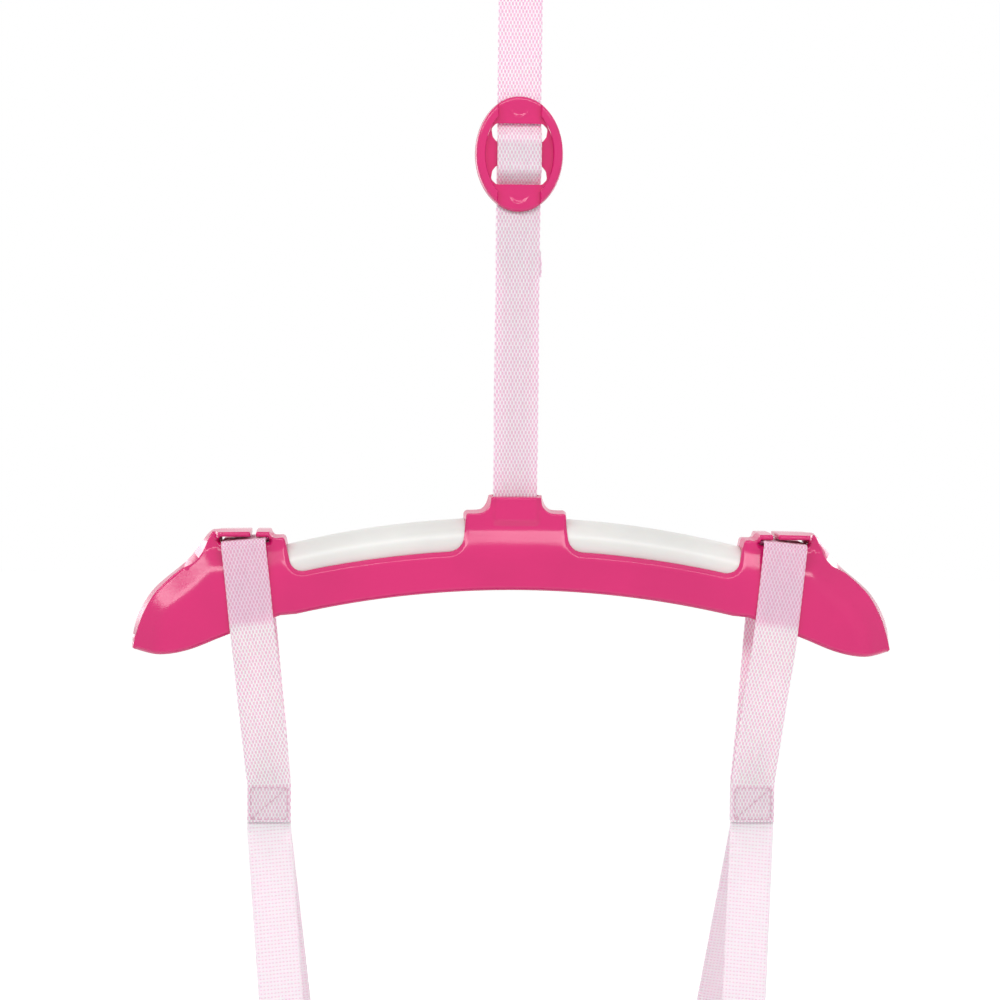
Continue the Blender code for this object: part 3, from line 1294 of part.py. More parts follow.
for leftover in list(bpy.data.objects):
    bpy.data.objects.remove(leftover)
parts = fresh_collection("baby_doorway_jumper")
cutters = fresh_collection("cutters")
pink_plastic = finish("pink_plastic", PINK, 0.22)
white_plastic = finish("white_plastic", WHITE, 0.35)
pale_webbing = finish("pale_webbing", PALE_PINK, 0.75)
pink_fabric = finish("pink_fabric", PINK, 0.85)
pale_fabric = finish("pale_fabric", PALE_PINK, 0.85)
white_fabric = finish("white_fabric", WHITE, 0.85)
steel = finish("steel", STEEL, 0.3, 1.0)
rubber = finish("rubber", DARK, 0.8)

make_clamp()
make_hanger()
make_bounce_spring()
make_strap_ring()
make_upper_strap()
make_adjuster_webbing(make_adjuster())
make_lower_strap()
make_bar()
make_side_webbing("left", -1)
make_side_webbing("right", 1)
make_seat()
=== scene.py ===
"""Baby doorway jumper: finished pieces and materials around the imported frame.

Metres, +Z up, front towards -Y, origin on the ledge that the clamp rests on. Laid out as an add-on:
one operator for each group of like pieces and one for the stage, with their sizes and colours in
two property groups and a panel in the sidebar.
"""

import math

import bmesh
import bpy
import numpy as np
from mathutils import Matrix, Vector
from mathutils.geometry import delaunay_2d_cdt


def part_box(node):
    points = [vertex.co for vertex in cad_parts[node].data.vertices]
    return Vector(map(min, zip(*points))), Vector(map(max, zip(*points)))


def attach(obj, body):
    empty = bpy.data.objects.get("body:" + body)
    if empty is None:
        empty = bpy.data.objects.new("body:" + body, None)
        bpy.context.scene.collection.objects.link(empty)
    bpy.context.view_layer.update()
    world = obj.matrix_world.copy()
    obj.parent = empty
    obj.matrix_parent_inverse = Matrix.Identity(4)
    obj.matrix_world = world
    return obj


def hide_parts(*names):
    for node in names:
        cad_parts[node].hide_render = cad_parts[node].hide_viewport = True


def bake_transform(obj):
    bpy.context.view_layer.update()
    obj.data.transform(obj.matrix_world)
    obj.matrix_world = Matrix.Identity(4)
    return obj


bl_info = {
    "name": "Doorway jumper",
    "version": (1, 0, 0),
    "blender": (4, 5, 0),
    "location": "3D View > Sidebar > Jumper",
    "description": "Builds the finished pieces of a baby doorway jumper around its packed frame",
    "category": "Object",
}

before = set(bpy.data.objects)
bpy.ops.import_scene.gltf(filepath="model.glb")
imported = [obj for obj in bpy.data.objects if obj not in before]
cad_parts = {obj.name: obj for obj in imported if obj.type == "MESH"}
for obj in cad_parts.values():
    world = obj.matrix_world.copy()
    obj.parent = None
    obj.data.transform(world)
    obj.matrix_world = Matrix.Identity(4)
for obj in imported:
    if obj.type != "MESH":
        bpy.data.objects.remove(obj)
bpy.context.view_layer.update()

MM = 0.001
GAP = 0.3 * MM
HALF_PI = math.pi / 2
TAU = math.tau


def middle(node):
    """Middle of a CAD node's box."""
    return [(low + high) / 2 for low, high in zip(*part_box(node))]


# Spring, ring and adjuster
ROD_Z = middle("hanger_rod")[2]
ROD_RADIUS = 3.0 * MM
HOOK_RADIUS = 7.0 * MM
COIL_RADIUS, COIL_LENGTH, COIL_TURNS = 12.5 * MM, 110.0 * MM, 16
COIL_TOP_Z = ROD_Z - 18.0 * MM
COIL_BOTTOM_Z = COIL_TOP_Z - COIL_LENGTH
RING_LOW, RING_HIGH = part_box("strap_ring")
RING_WIRE = 2.5 * MM
RING_TOP_Z = RING_HIGH.z - RING_WIRE
RING_BOTTOM_Z = RING_LOW.z + RING_WIRE
BUCKLE_LOW, BUCKLE_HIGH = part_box("adjuster_buckle")
BUCKLE_Z = middle("adjuster_buckle")[2]
BUCKLE_Y = -4.3 * MM

# Webbing
WEB_WIDTH = 25.0 * MM
WEB_THICK = 1.4 * MM
WEB_PITCH = WEB_THICK + GAP

# Spreader bar, heights down from the top of its neck
BAR_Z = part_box("bar_front_shell")[1].z
HUB_PIN_Z = middle("hub_pin")[2]
BAR_DEPTH = 17.0 * MM
SADDLE_DROP = 27.0 * MM
SADDLE_Z = BAR_Z - SADDLE_DROP
LOOP_DROP = 140.1 * MM
LOOP_SEAM = 21.5 * MM
LOOP_LEAN = 14.3 * MM
SADDLE_X = 153.75 * MM
TUBE_RADIUS = 13.0 * MM
TUBE_HALF_LENGTH = 185.0 * MM

# Seat
HOOP_Z = middle("seat_hoop")[2]
HOOP_HALF_X = 160.0 * MM
HOOP_HALF_Y = 125.0 * MM
HOOP_CORNER = 80.0 * MM
HOOP_RADIUS = 8.0 * MM
STRAP_SPREAD = 107.0 * MM
RIM_RADIUS = 20.0 * MM


# Meshes

def mesh_of(name, points, faces):
    """A mesh from points and faces."""
    mesh = bpy.data.meshes.new(name)
    mesh.from_pydata([tuple(p) for p in points], [], [tuple(f) for f in faces])
    mesh.update()
    return mesh


def piece(name, points, faces, material, body, uv=None, **rest):
    """A mesh object that rides on a body."""
    mesh = mesh_of(name, points, faces)
    if uv is not None:
        layer = mesh.uv_layers.new(name="cloth")
        loops = np.empty(len(mesh.loops), np.int32)
        mesh.loops.foreach_get("vertex_index", loops)
        layer.data.foreach_set("uv", np.asarray(uv, np.float32)[loops].ravel())
    return dress(loose(name, mesh), material, body, **rest)


def loose(name, data):
    """An object of some data, linked to the scene."""
    made = bpy.data.objects.new(name, data)
    bpy.context.scene.collection.objects.link(made)
    return made


def smoothed(mesh, angle):
    """Smooth faces, with sharp edges from an angle in degrees."""
    mesh.polygons.foreach_set("use_smooth", [True] * len(mesh.polygons))
    mesh.set_sharp_from_angle(angle=math.radians(angle))


def dress(made, material, body, slot=None, replaces=(), smooth=35.0):
    """Makes an object a piece, with its material, smoothing and body; slot is not used."""
    made.data.materials.clear()
    made.data.materials.append(material)
    if smooth:
        smoothed(made.data, smooth)
    if body:
        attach(made, body)
    if replaces:
        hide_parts(*replaces)
    return made


def outward(mesh):
    """Turns a mesh's faces to the outside."""
    work = bmesh.new()
    work.from_mesh(mesh)
    bmesh.ops.recalc_face_normals(work, faces=work.faces)
    work.to_mesh(mesh)
    work.free()


def grid_faces(rows, columns, around=False, along=False, start=0):
    """Quads of a grid of points, closed around its columns or along its rows."""
    faces = []
    for i in range(rows if along else rows - 1):
        for k in range(columns if around else columns - 1):
            a, b = i * columns + k, i * columns + (k + 1) % columns
            c, d = ((i + 1) % rows) * columns + (k + 1) % columns, ((i + 1) % rows) * columns + k
            faces.append((start + a, start + b, start + c, start + d))
    return faces


def catmull(points, steps):
    """A smooth curve through every point, with so many steps between two of them."""
    p = np.asarray(points, float)
    p = np.vstack([2 * p[0] - p[1], p, 2 * p[-1] - p[-2]])
    found = []
    for a, b, c, d in zip(p, p[1:], p[2:], p[3:]):
        for t in np.arange(steps) / steps:
            found.append((2 * b + (c - a) * t + (2 * a - 5 * b + 4 * c - d) * t**2
                          + (3 * b - a - 3 * c + d) * t**3) / 2)
    return np.array([*found, p[-2]])


def lengths(points):
    """Distance of each point of a line from its start."""
    return np.concatenate([[0], np.cumsum(np.linalg.norm(np.diff(points, axis=0), axis=1))])


def sampled(values, run, at):
    """Rows of values known at some distances, read off at others."""
    return np.stack([np.interp(at, run, column) for column in values.T], 1)


def even(points, spacing):
    """Points at an even spacing along a line, and their distances along it."""
    p = np.asarray(points, float)
    run = lengths(p)
    at = np.linspace(0, run[-1], max(2, int(round(run[-1] / spacing)) + 1))
    return sampled(p, run, at), at


def unit(v):
    """Rows scaled to length one."""
    return v / np.linalg.norm(v, axis=-1, keepdims=True)


def tangents(path, closed=False):
    """Unit directions along a line of points."""
    return unit(np.roll(path, -1, 0) - np.roll(path, 1, 0) if closed else np.gradient(path, axis=0))


def rounded(corners, steps=5):
    """An outline whose corners (x, y, radius, ...) are rounded; what follows the radius is carried along."""
    found = []
    count = len(corners)
    for i, corner in enumerate(corners):
        here, radius, extra = Vector(corner[:2]), corner[2], tuple(corner[3:])
        if radius <= 0:
            found.append((*here, *extra))
            continue
        back = Vector(corners[i - 1][:2]) - here
        ahead = Vector(corners[(i + 1) % count][:2]) - here
        half = back.angle(ahead) / 2
        reach = min(radius / math.tan(half), back.length / 2, ahead.length / 2)
        radius = reach * math.tan(half)
        centre = here + (back.normalized() + ahead.normalized()).normalized() * radius / math.sin(half)
        start = here + back.normalized() * reach - centre
        sweep = start.angle_signed(here + ahead.normalized() * reach - centre)
        for k in range(steps + 1):
            found.append((*(centre + Matrix.Rotation(-sweep * k / steps, 2) @ start), *extra))
    return found


def swept(path, section, side, closed=False):
    """Points of a section (u, v) swept along a path; side is the u direction, one or one per station."""
    path = np.asarray(path, float)
    way = tangents(path, closed)
    side = np.broadcast_to(np.asarray(side, float), path.shape)
    up = unit(np.cross(way, side))
    side = unit(np.cross(up, way))
    section = np.asarray(section, float)
    if section.ndim == 2:
        section = np.broadcast_to(section, (len(path), *section.shape))
    return path[:, None] + side[:, None] * section[..., :1] + up[:, None] * section[..., 1:]


def tube_faces(rows, columns, start=0):
    """Faces of a tube of points, with its ends filled."""
    last = start + (rows - 1) * columns
    return [*grid_faces(rows, columns, around=True, start=start), tuple(range(start, start + columns))[::-1],
            tuple(range(last, last + columns))]


def loft(name, rings, material, body, closed=False, **rest):
    """A surface through rings of points, closed along them or with its ends filled."""
    count, columns = rings.shape[:2]
    faces = grid_faces(count, columns, True, True) if closed else tube_faces(count, columns)
    made = piece(name, rings.reshape(-1, 3), faces, material, body, **rest)
    outward(made.data)
    return made


def circle(radius, sides):
    """A circle's (u, v) points."""
    a = np.arange(sides) * TAU / sides
    return np.stack([np.cos(a), np.sin(a)], 1) * radius


def rectangle(half_x, half_y, radius, steps=5):
    """A rectangle's outline with rounded corners."""
    signs = ((1, 1), (1, -1), (-1, -1), (-1, 1))
    return rounded([(half_x * a, half_y * b, radius) for a, b in signs], steps)


def frames_along(path, closed=False):
    """Side directions along a curve that turn as little as they can."""
    way = tangents(path, closed)
    side = np.cross(way[0], [0.3, 0.2, 0.93])
    found = []
    for w in way:
        side = unit(side - w * (side @ w))
        found.append(side)
    return np.array(found)


def rod(name, path, radius, material, body, sides=20, closed=False, **rest):
    """A round wire or tube along a path."""
    side = frames_along(path, closed)
    return loft(name, swept(path, circle(radius, sides), side, closed), material, body, closed, **rest)


def band_section():
    """The webbing's section, with soft edges."""
    half, t, soft = WEB_WIDTH / 2, WEB_THICK / 2, 0.035
    top = [(half * (1 - soft) * u, t) for u in np.linspace(-1, 1, 11)]
    edge = [(half * (1 - soft + soft * math.cos(a)), t * math.sin(a)) for a in (1.0, 0.45, 0.0, -0.45, -1.0)]
    return np.array([*top, *edge, *[(u, -v) for u, v in reversed(top)], *[(-u, -v) for u, v in edge]])


def strap(name, points, at, across, material, body, waver=0.0, **rest):
    """Webbing through stations, its cloth coordinates in metres across and along."""
    section = band_section()
    wave = waver * (np.sin(at * 61 + 1.3) + 0.6 * np.sin(at * 143 + 0.4))
    rings = swept(points, section + np.stack([wave, 0 * wave], 1)[:, None], across)
    uv = np.stack(np.broadcast_arrays(section[:, 0], at[:, None]), -1).reshape(-1, 2)
    return loft(name, rings, material, body, uv=uv, slot="pale_webbing", **rest)


def webbing(name, path, material, body, across=(1, 0, 0), spacing=2.0 * MM, **rest):
    """Webbing along a path."""
    points, at = even(path, spacing)
    return strap(name, points, at, across, material, body, **rest)


# Materials

GROUP_INPUTS = {
    "weave": {
        "Light": (0.93, 0.80, 0.87, 1), "Shade": (0.75, 0.32, 0.50, 1), "Across": 0.975 * MM,
        "Along": 4.2 * MM, "Stagger": 0.5, "Float Share": 0.7, "Rows": 0.0,
        "Painted Pink": (1, 1, 1, 1), "Painted Pink From": 0.0, "Painted Pink To": 0.0, "Painted Seam Reach": 0.0,
    },
    "moulded_grain": {"Color": (0.8, 0.8, 0.8, 1), "Roughness": 0.3, "Wear": 0.1},
    "fine_cloth": {"Color": (0.8, 0.8, 0.8, 1), "Thread": 0.7 * MM},
}
GROUP_OUTPUTS = (("Color", "Color"), ("Height", "Float"), ("Roughness", "Float"))


def group(build):
    """The shader group of the colour, height and roughness that build finds from its inputs, made once."""
    made = bpy.data.node_groups.get(build.__name__)
    if made:
        return made
    made = bpy.data.node_groups.new(build.__name__, "ShaderNodeTree")
    for label, value in GROUP_INPUTS[build.__name__].items():
        kind = "Float" if isinstance(value, float) else "Color"
        socket = made.interface.new_socket(label, in_out="INPUT", socket_type="NodeSocket" + kind)
        socket.default_value = value
    for label, kind in GROUP_OUTPUTS:
        made.interface.new_socket(label, in_out="OUTPUT", socket_type="NodeSocket" + kind)
    n = Nodes(made)
    target = made.nodes.new("NodeGroupOutput")
    found = build(n, made.nodes.new("NodeGroupInput").outputs)
    for (label, _), value in zip(GROUP_OUTPUTS, found):
        n.feed(target.inputs[label], value)
    return made


class Nodes:
    """Short ways to add and join nodes of one tree."""

    def __init__(self, tree):
        self.tree = tree

    def add(self, kind, links=(), **settings):
        """A node with its settings; inputs are set or linked by number or name."""
        node = self.tree.nodes.new("ShaderNode" + kind)
        for key, value in settings.items():
            setattr(node, key, value)
        for key, value in dict(links).items():
            self.feed(node.inputs[key], value)
        return node

    def feed(self, socket, value):
        """Links a socket, or sets it."""
        if isinstance(value, bpy.types.NodeSocket):
            self.tree.links.new(value, socket)
        else:
            socket.default_value = value

    def math(self, operation, *values):
        """One maths node."""
        return self.add("Math", dict(enumerate(values)), operation=operation).outputs[0]

    def times(self, a, b):
        return self.math("MULTIPLY", a, b)

    def plus(self, a, b):
        return self.math("ADD", a, b)

    def minus(self, a, b):
        return self.math("SUBTRACT", a, b)

    def ramp(self, value, low, high, to_low=0.0, to_high=1.0):
        """A smooth step from one value to another."""
        return self.add("MapRange", {"Value": value, "From Min": low, "From Max": high, "To Min": to_low,
                                     "To Max": to_high}, interpolation_type="SMOOTHSTEP").outputs[0]

    def mix(self, factor, a, b):
        """Mixes two colours."""
        return self.add("Mix", {0: factor, 6: a, 7: b}, data_type="RGBA").outputs[2]

    def noise(self, vector, scale, detail=2.0, roughness=0.5):
        """Noise of one number."""
        return self.add("TexNoise", {"Vector": vector, "Scale": scale, "Detail": detail,
                                     "Roughness": roughness}).outputs[0]

    def scaled(self, vector, scale):
        """A vector or colour times a number."""
        return self.add("VectorMath", {0: vector, "Scale": scale}, operation="SCALE").outputs[0]

    def product(self, a, b):
        """Two vectors or colours, multiplied part by part."""
        return self.add("VectorMath", {0: a, 1: b}, operation="MULTIPLY").outputs[0]


def weave(n, given):
    """Woven webbing: raised floats in columns with gaps at their ends, from cloth coordinates in metres."""
    place = n.add("UVMap", uv_map="cloth").outputs[0]
    parts = n.add("SeparateXYZ", {0: place}).outputs
    wobble = n.minus(n.noise(place, 420.0), 0.5)
    u = n.plus(n.math("DIVIDE", parts[0], given["Across"]), n.times(wobble, 0.4))
    v = n.plus(n.math("DIVIDE", parts[1], given["Along"]), n.times(n.math("FLOOR", u), given["Stagger"]))
    v = n.plus(v, n.times(wobble, 0.08))
    across, along = (n.math("ABSOLUTE", n.minus(n.times(n.math("FRACT", w), 2.0), 1.0)) for w in (u, v))
    crown = n.minus(1.0, n.times(n.times(across, across), 0.6))
    share = given["Float Share"]
    end = n.ramp(along, n.minus(share, 0.26), n.plus(share, 0.26), 1.0, 0.0)
    pits = n.times(n.minus(1.0, end), n.ramp(across, 0.25, 0.75, 1.0, 0.35))
    rows = n.times(given["Rows"], n.minus(1.0, pits))
    raised = n.plus(rows, n.times(n.minus(1.0, given["Rows"]), n.times(crown, end)))
    strand = n.noise(n.product(place, (9000.0, 1400.0, 1.0)), 1.0)
    edge = n.ramp(n.math("ABSOLUTE", n.math("DIVIDE", parts[0], WEB_WIDTH / 2)), 0.86, 0.95, 1.0, 0.85)
    light = n.times(n.times(n.ramp(raised, 0.0, 0.8), edge), n.ramp(strand, 0.25, 0.6, 0.9, 1.0))

    def past(value, key, reach, start, stop):
        return n.ramp(value, n.plus(given[key], -reach), n.plus(given[key], reach), start, stop)

    # Painted light: a pink colour multiplies the webbing between two distances along it, for the pink bar
    # showing through the cloth and its pink light, and at 0.35 strength within the seam's length of either
    # end, as painted pink shade between the stitched layers.
    other_end = n.minus(n.plus(given["Painted Pink From"], given["Painted Pink To"]), parts[1])
    to_end = n.math("MINIMUM", parts[1], other_end)
    painted_on_bar = n.times(past(parts[1], "Painted Pink From", 3 * MM, 0.0, 1.0),
                     past(parts[1], "Painted Pink To", 3 * MM, 1.0, 0.0))
    painted_share = n.math("MAXIMUM", painted_on_bar, past(to_end, "Painted Seam Reach", 0.5 * MM, 0.35, 0.0))
    painted_colour = n.mix(painted_share, (1, 1, 1, 1), given["Painted Pink"])
    return (n.product(n.mix(light, given["Shade"], given["Light"]), painted_colour),
            n.plus(raised, n.times(strand, 0.12)), n.ramp(strand, 0.2, 0.8, 0.52, 0.7))


def moulded_grain(n, given):
    """Fine moulded grain with a faint change of shade, from object coordinates."""
    place = n.add("TexCoord").outputs["Object"]
    shade = n.ramp(n.noise(place, 21.0, 3.0), 0.3, 0.7, 0.965, 1.035)
    scuff = n.ramp(n.noise(place, 75.0, 6.0, 0.62), 0.55, 0.75)
    return (n.scaled(given["Color"], shade), n.noise(place, 900.0, 3.0),
            n.plus(given["Roughness"], n.times(scuff, given["Wear"])))


def fine_cloth(n, given):
    """Fine plain cloth with a soft random change of tone and painted shade between its threads, from object
    coordinates.
    """
    place = n.add("TexCoord").outputs["Object"]
    parts = n.add("SeparateXYZ", {0: n.scaled(place, n.math("DIVIDE", TAU, given["Thread"]))}).outputs
    rows, columns = n.math("SINE", parts[2]), n.math("SINE", n.plus(parts[0], parts[1]))
    height = n.plus(n.times(n.plus(rows, columns), 0.25), 0.5)
    broad = n.ramp(n.noise(place, 34.0, 4.0), 0.3, 0.7, 0.93, 1.05)
    # Painted shade: the colour is darker where the thread height is low, in the hollows between threads; the
    # broad noise is a random change of tone.
    shade = n.times(broad, n.ramp(height, 0.0, 1.0, 0.9, 1.04))
    return n.scaled(given["Color"], shade), height, n.ramp(broad, 0.93, 1.05, 0.92, 0.8)


def shaded(name, build, depth, values, sheen=0.0, metallic=0.0, subsurface=0.0, scatter=1.2 * MM):
    """A material whose colour, roughness and bump come from a group, made once."""
    made = bpy.data.materials.get(name)
    if made:
        return made
    made = bpy.data.materials.new(name)
    made.use_nodes = True
    n = Nodes(made.node_tree)
    shader = made.node_tree.nodes["Principled BSDF"]
    source = n.add("Group", values, node_tree=group(build)).outputs
    n.feed(shader.inputs["Base Color"], source["Color"])
    n.feed(shader.inputs["Roughness"], source["Roughness"])
    bump = n.add("Bump", {"Strength": 1.0, "Distance": depth, "Height": source["Height"]})
    n.feed(shader.inputs["Normal"], bump.outputs[0])
    for key, value in (("Sheen Weight", sheen), ("Metallic", metallic), ("IOR", 1.5),
                       ("Subsurface Weight", subsurface), ("Subsurface Scale", scatter)):
        shader.inputs[key].default_value = value
    return made


def web(rows=False, on_bar=None):
    """The webbing's weave, in ribs or staggered floats; a loop's is a lighter copy as painted light, and
    painted pink on the bar and at its stitched ends.
    """
    colours, sizes = bpy.context.scene.jumper_colours, bpy.context.scene.jumper_sizes
    light, shade = np.array(colours.webbing), np.array(colours.webbing_shade)
    name, cell, values = "pale_webbing_weave", (0.5, 2.0), {"Stagger": 0.5, "Float Share": 0.55}
    if rows:
        name, cell = "pale_webbing_ribs", (1.0, 1.0)
        values = {"Stagger": 0.0, "Float Share": 0.66, "Rows": 1.0}
        light, shade = light * 0.93, shade * 0.7 + light * 0.3
    # Painted light: the loops get a lighter copy of the webbing for light through the hanging cloth, then
    # painted pink on the bar and at their stitched ends.
    if on_bar:
        name, painted_lift = "pale_webbing_loops_painted_light", (1.03, 1.13, 1.07)
        light, shade = light * painted_lift, shade * painted_lift
        values.update({"Painted Pink": (0.985, 0.72, 0.84, 1), "Painted Seam Reach": LOOP_SEAM, "Painted Pink From": on_bar[0],
                       "Painted Pink To": on_bar[1]})
    made = shaded(name, weave, 0.2 * MM, {
        "Light": (*light, 1), "Shade": (*shade, 1), "Across": sizes.weave_across * cell[0],
        "Along": sizes.weave_along * cell[1], **values}, sheen=0.12, subsurface=0.8, scatter=3.0 * MM)
    shader = made.node_tree.nodes["Principled BSDF"]
    shader.inputs["Subsurface Radius"].default_value = (1.0, 0.75, 0.88)
    return made


# Group, bump depth, colour or colour setting, group values, shader values
FINISHES = {
    "pink_plastic_gloss": (moulded_grain, 0.004 * MM, "pink", {"Roughness": 0.15, "Wear": 0.04}, {}),
    "white_plastic_satin": (moulded_grain, 0.006 * MM, "white", {"Roughness": 0.3, "Wear": 0.06},
                            {"subsurface": 0.05}),
    "zinc_steel": (moulded_grain, 0.01 * MM, "steel", {"Roughness": 0.28, "Wear": 0.2}, {"metallic": 1.0}),
    "moulded_rubber": (moulded_grain, 0.02 * MM, (0.05, 0.05, 0.055), {"Roughness": 0.7, "Wear": 0.1}, {}),
    "pink_cloth": (fine_cloth, 0.12 * MM, "pink_cloth", {}, {"sheen": 0.25}),
    "pale_cloth": (fine_cloth, 0.12 * MM, "pale_cloth", {}, {"sheen": 0.2}),
    "white_cord_weave": (fine_cloth, 0.1 * MM, (0.82, 0.81, 0.79), {}, {"sheen": 0.1}),
    "sewing_thread": (fine_cloth, 0.05 * MM, "thread", {"Thread": 0.35 * MM}, {"sheen": 0.1}),
}


def finish(name):
    """One of the finishes, made once."""
    build, depth, colour, values, rest = FINISHES[name]
    if isinstance(colour, str):
        colour = getattr(bpy.context.scene.jumper_colours, colour)
    return shaded(name, build, depth, {"Color": (*colour, 1), **values}, **rest)


def carry(material, *nodes):
    """CAD nodes that keep their shape and get a finished material."""
    for node in nodes:
        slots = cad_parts[node].material_slots
        if not slots:
            raise RuntimeError(f"{node} has no material slot")
        for slot in slots:
            slot.material = material


# Relief solids: one half of a moulding, raised from a flat back to a height over its outline

class Relief:
    """A closed outline with, at each point, the inset of its side wall and the fall and width of its edge."""

    def __init__(self, outline, level, back):
        self.points = np.array([p[:2] for p in outline])
        self.inset, self.fall, self.width = np.array([p[2:5] for p in outline]).T
        self.level, self.back = level, back

    def distances(self, places):
        """Distance of each place to each side of the outline, and how far along it."""
        a = self.points
        b = np.roll(a, -1, 0)
        along = b - a
        t = np.einsum("psk,sk->ps", places[:, None] - a, along) / np.maximum((along**2).sum(1), 1e-16)
        t = np.clip(t, 0, 1)
        gap = np.linalg.norm(places[:, None] - a - along * t[..., None], axis=2)
        return gap, t

    def heights(self, places):
        """Height over the flat back, of the raised face alone and with its side walls."""
        drop, rise = [], []
        for start in range(0, len(places), 1500):
            gap, t = self.distances(places[start:start + 1500])
            inset, fall, width = [v + (np.roll(v, -1) - v) * t for v in (self.inset, self.fall, self.width)]
            u = np.clip((gap - inset) / np.maximum(width, 1e-6), 0, 1)
            drop.append((fall * (1 - u) ** 2).max(1))
            rise.append(np.clip(gap / inset, 0, 1).min(1))
        top = self.level(places) - np.concatenate(drop)
        return top, self.back + (top - self.back) * np.concatenate(rise)

    def slopes(self, places, step=0.06 * MM):
        """Unit normals of the raised face, towards -Y."""
        x, z = np.array([step, 0]), np.array([0, step])
        dx = (self.heights(places + x)[0] - self.heights(places - x)[0]) / (2 * step)
        dz = (self.heights(places + z)[0] - self.heights(places - z)[0]) / (2 * step)
        return unit(np.stack([-dx, -np.ones(len(places)), -dz], 1))

    def ring(self):
        """Places along the inner edge of the side wall."""
        places = self.points - outs_of(self.points) * self.inset[:, None]
        gap, t = self.distances(places)
        need = self.inset + (np.roll(self.inset, -1) - self.inset) * t
        places = places[(gap >= need - 0.03 * MM).all(1)]
        apart = np.linalg.norm(places - np.roll(places, 1, 0), axis=1)
        return places[apart > 0.05 * MM]


def inside(points, outline):
    """Which points lie inside an outline."""
    x, y = points.T
    found = np.zeros(len(points), bool)
    for (x1, y1), (x2, y2) in zip(outline, np.roll(outline, -1, 0)):
        if y1 != y2:
            found ^= ((y1 > y) != (y2 > y)) & (x < (x2 - x1) * (y - y1) / (y2 - y1) + x1)
    return found


def relief_solid(name, relief, spacing):
    """The mesh of a relief: raised front towards -Y, side walls and a flat back."""
    outline = relief.points
    ring = relief.ring()
    low, high = ring.min(0), ring.max(0)
    columns = np.arange(low[0], high[0], spacing)
    rows = np.arange(low[1], high[1], spacing * 0.866)
    grid = np.array([(x + (spacing / 2 if k % 2 else 0), z) for k, z in enumerate(rows) for x in columns])
    taken, free = ring, []
    rings = [(ring - outs_of(ring) * (inset * MM), 0.28 * MM) for inset in (0.35, 0.9, 1.7, 2.7)]
    for some, least in (*rings, (grid, 0.62 * spacing)):
        some = some[inside(some, ring)]
        some = some[nearest(some, taken) > least]
        taken = np.vstack([taken, some])
        free.append(some)
    n, m = len(outline), len(ring)
    edges = [(i, (i + 1) % n) for i in range(n)] + [(n + i, n + (i + 1) % m) for i in range(m)]
    places = [Vector(p) for p in np.vstack([outline, ring, *free])]
    found = delaunay_2d_cdt(places, edges, [], 1, 1e-9)
    flat = delaunay_2d_cdt(places[:n], edges[:n], [], 1, 1e-9)
    places = np.array([tuple(v) for v in found[0]])
    heights = relief.heights(places)[1]
    new_of = {old: new for new, olds in enumerate(found[3]) for old in olds}
    heights[[new_of[i] for i in range(n)]] = relief.back
    faces = [tuple(f) for f in found[2]]
    faces += [tuple(new_of[flat[3][v][0]] for v in f) for f in flat[2]]
    mesh = mesh_of(name, [(x, -h, z) for (x, z), h in zip(places, heights)], faces)
    outward(mesh)
    return mesh


def outs_of(outline):
    """Unit directions out of a closed outline at its points."""
    before, after = np.roll(outline, 1, 0), np.roll(outline, -1, 0)
    way = unit(unit(outline - before) + unit(after - outline) + 1e-12)
    area = (outline[:, 0] * after[:, 1] - after[:, 0] * outline[:, 1]).sum()
    return np.stack([way[:, 1], -way[:, 0]], 1) * (1 if area > 0 else -1)


def nearest(places, others):
    """Distance of each place to the nearest of others."""
    parts = [np.linalg.norm(places[start:start + 1000, None] - others, axis=2).min(1)
             for start in range(0, len(places), 1000)]
    return np.concatenate(parts) if parts else np.zeros(0)


def applied(obj):
    """The mesh of an object with its modifiers in place."""
    bpy.context.view_layer.update()
    return bpy.data.meshes.new_from_object(obj.evaluated_get(bpy.context.evaluated_depsgraph_get()))


def cut(obj, other, operation="DIFFERENCE"):
    """Cuts a closed form away from a piece, or joins it, for good."""
    step = obj.modifiers.new("cut", "BOOLEAN")
    step.operation, step.solver, step.object = operation, "EXACT", other
    done = applied(obj)
    obj.modifiers.clear()
    old, obj.data = obj.data, done
    bpy.data.meshes.remove(old)
    tool_mesh = other.data
    bpy.data.objects.remove(other)
    bpy.data.meshes.remove(tool_mesh)


def tool(name, make, **settings):
    """A cutting form made by a bmesh operator."""
    mesh = bpy.data.meshes.new(name)
    work = bmesh.new()
    make(work, **settings)
    work.to_mesh(mesh)
    work.free()
    return loose(name, mesh)


def solid_tool(name, points, faces):
    """A cutting form from points and faces."""
    mesh = mesh_of(name, points, faces)
    outward(mesh)
    return loose(name, mesh)


def block(low, high):
    """A box as a cutting form."""
    low, high = Vector(low), Vector(high)
    place = Matrix.Translation((low + high) / 2) @ Matrix.Diagonal((*(high - low), 1))
    return tool("block", bmesh.ops.create_cube, size=1, matrix=place)


def drum(start, end, radius):
    """A cylinder as a cutting form."""
    start, end = Vector(start), Vector(end)
    turn = (end - start).to_track_quat("Z", "Y").to_matrix().to_4x4()
    return tool("drum", bmesh.ops.create_cone, cap_ends=True, segments=24, radius1=radius, radius2=radius,
                depth=(end - start).length, matrix=Matrix.Translation((start + end) / 2) @ turn)


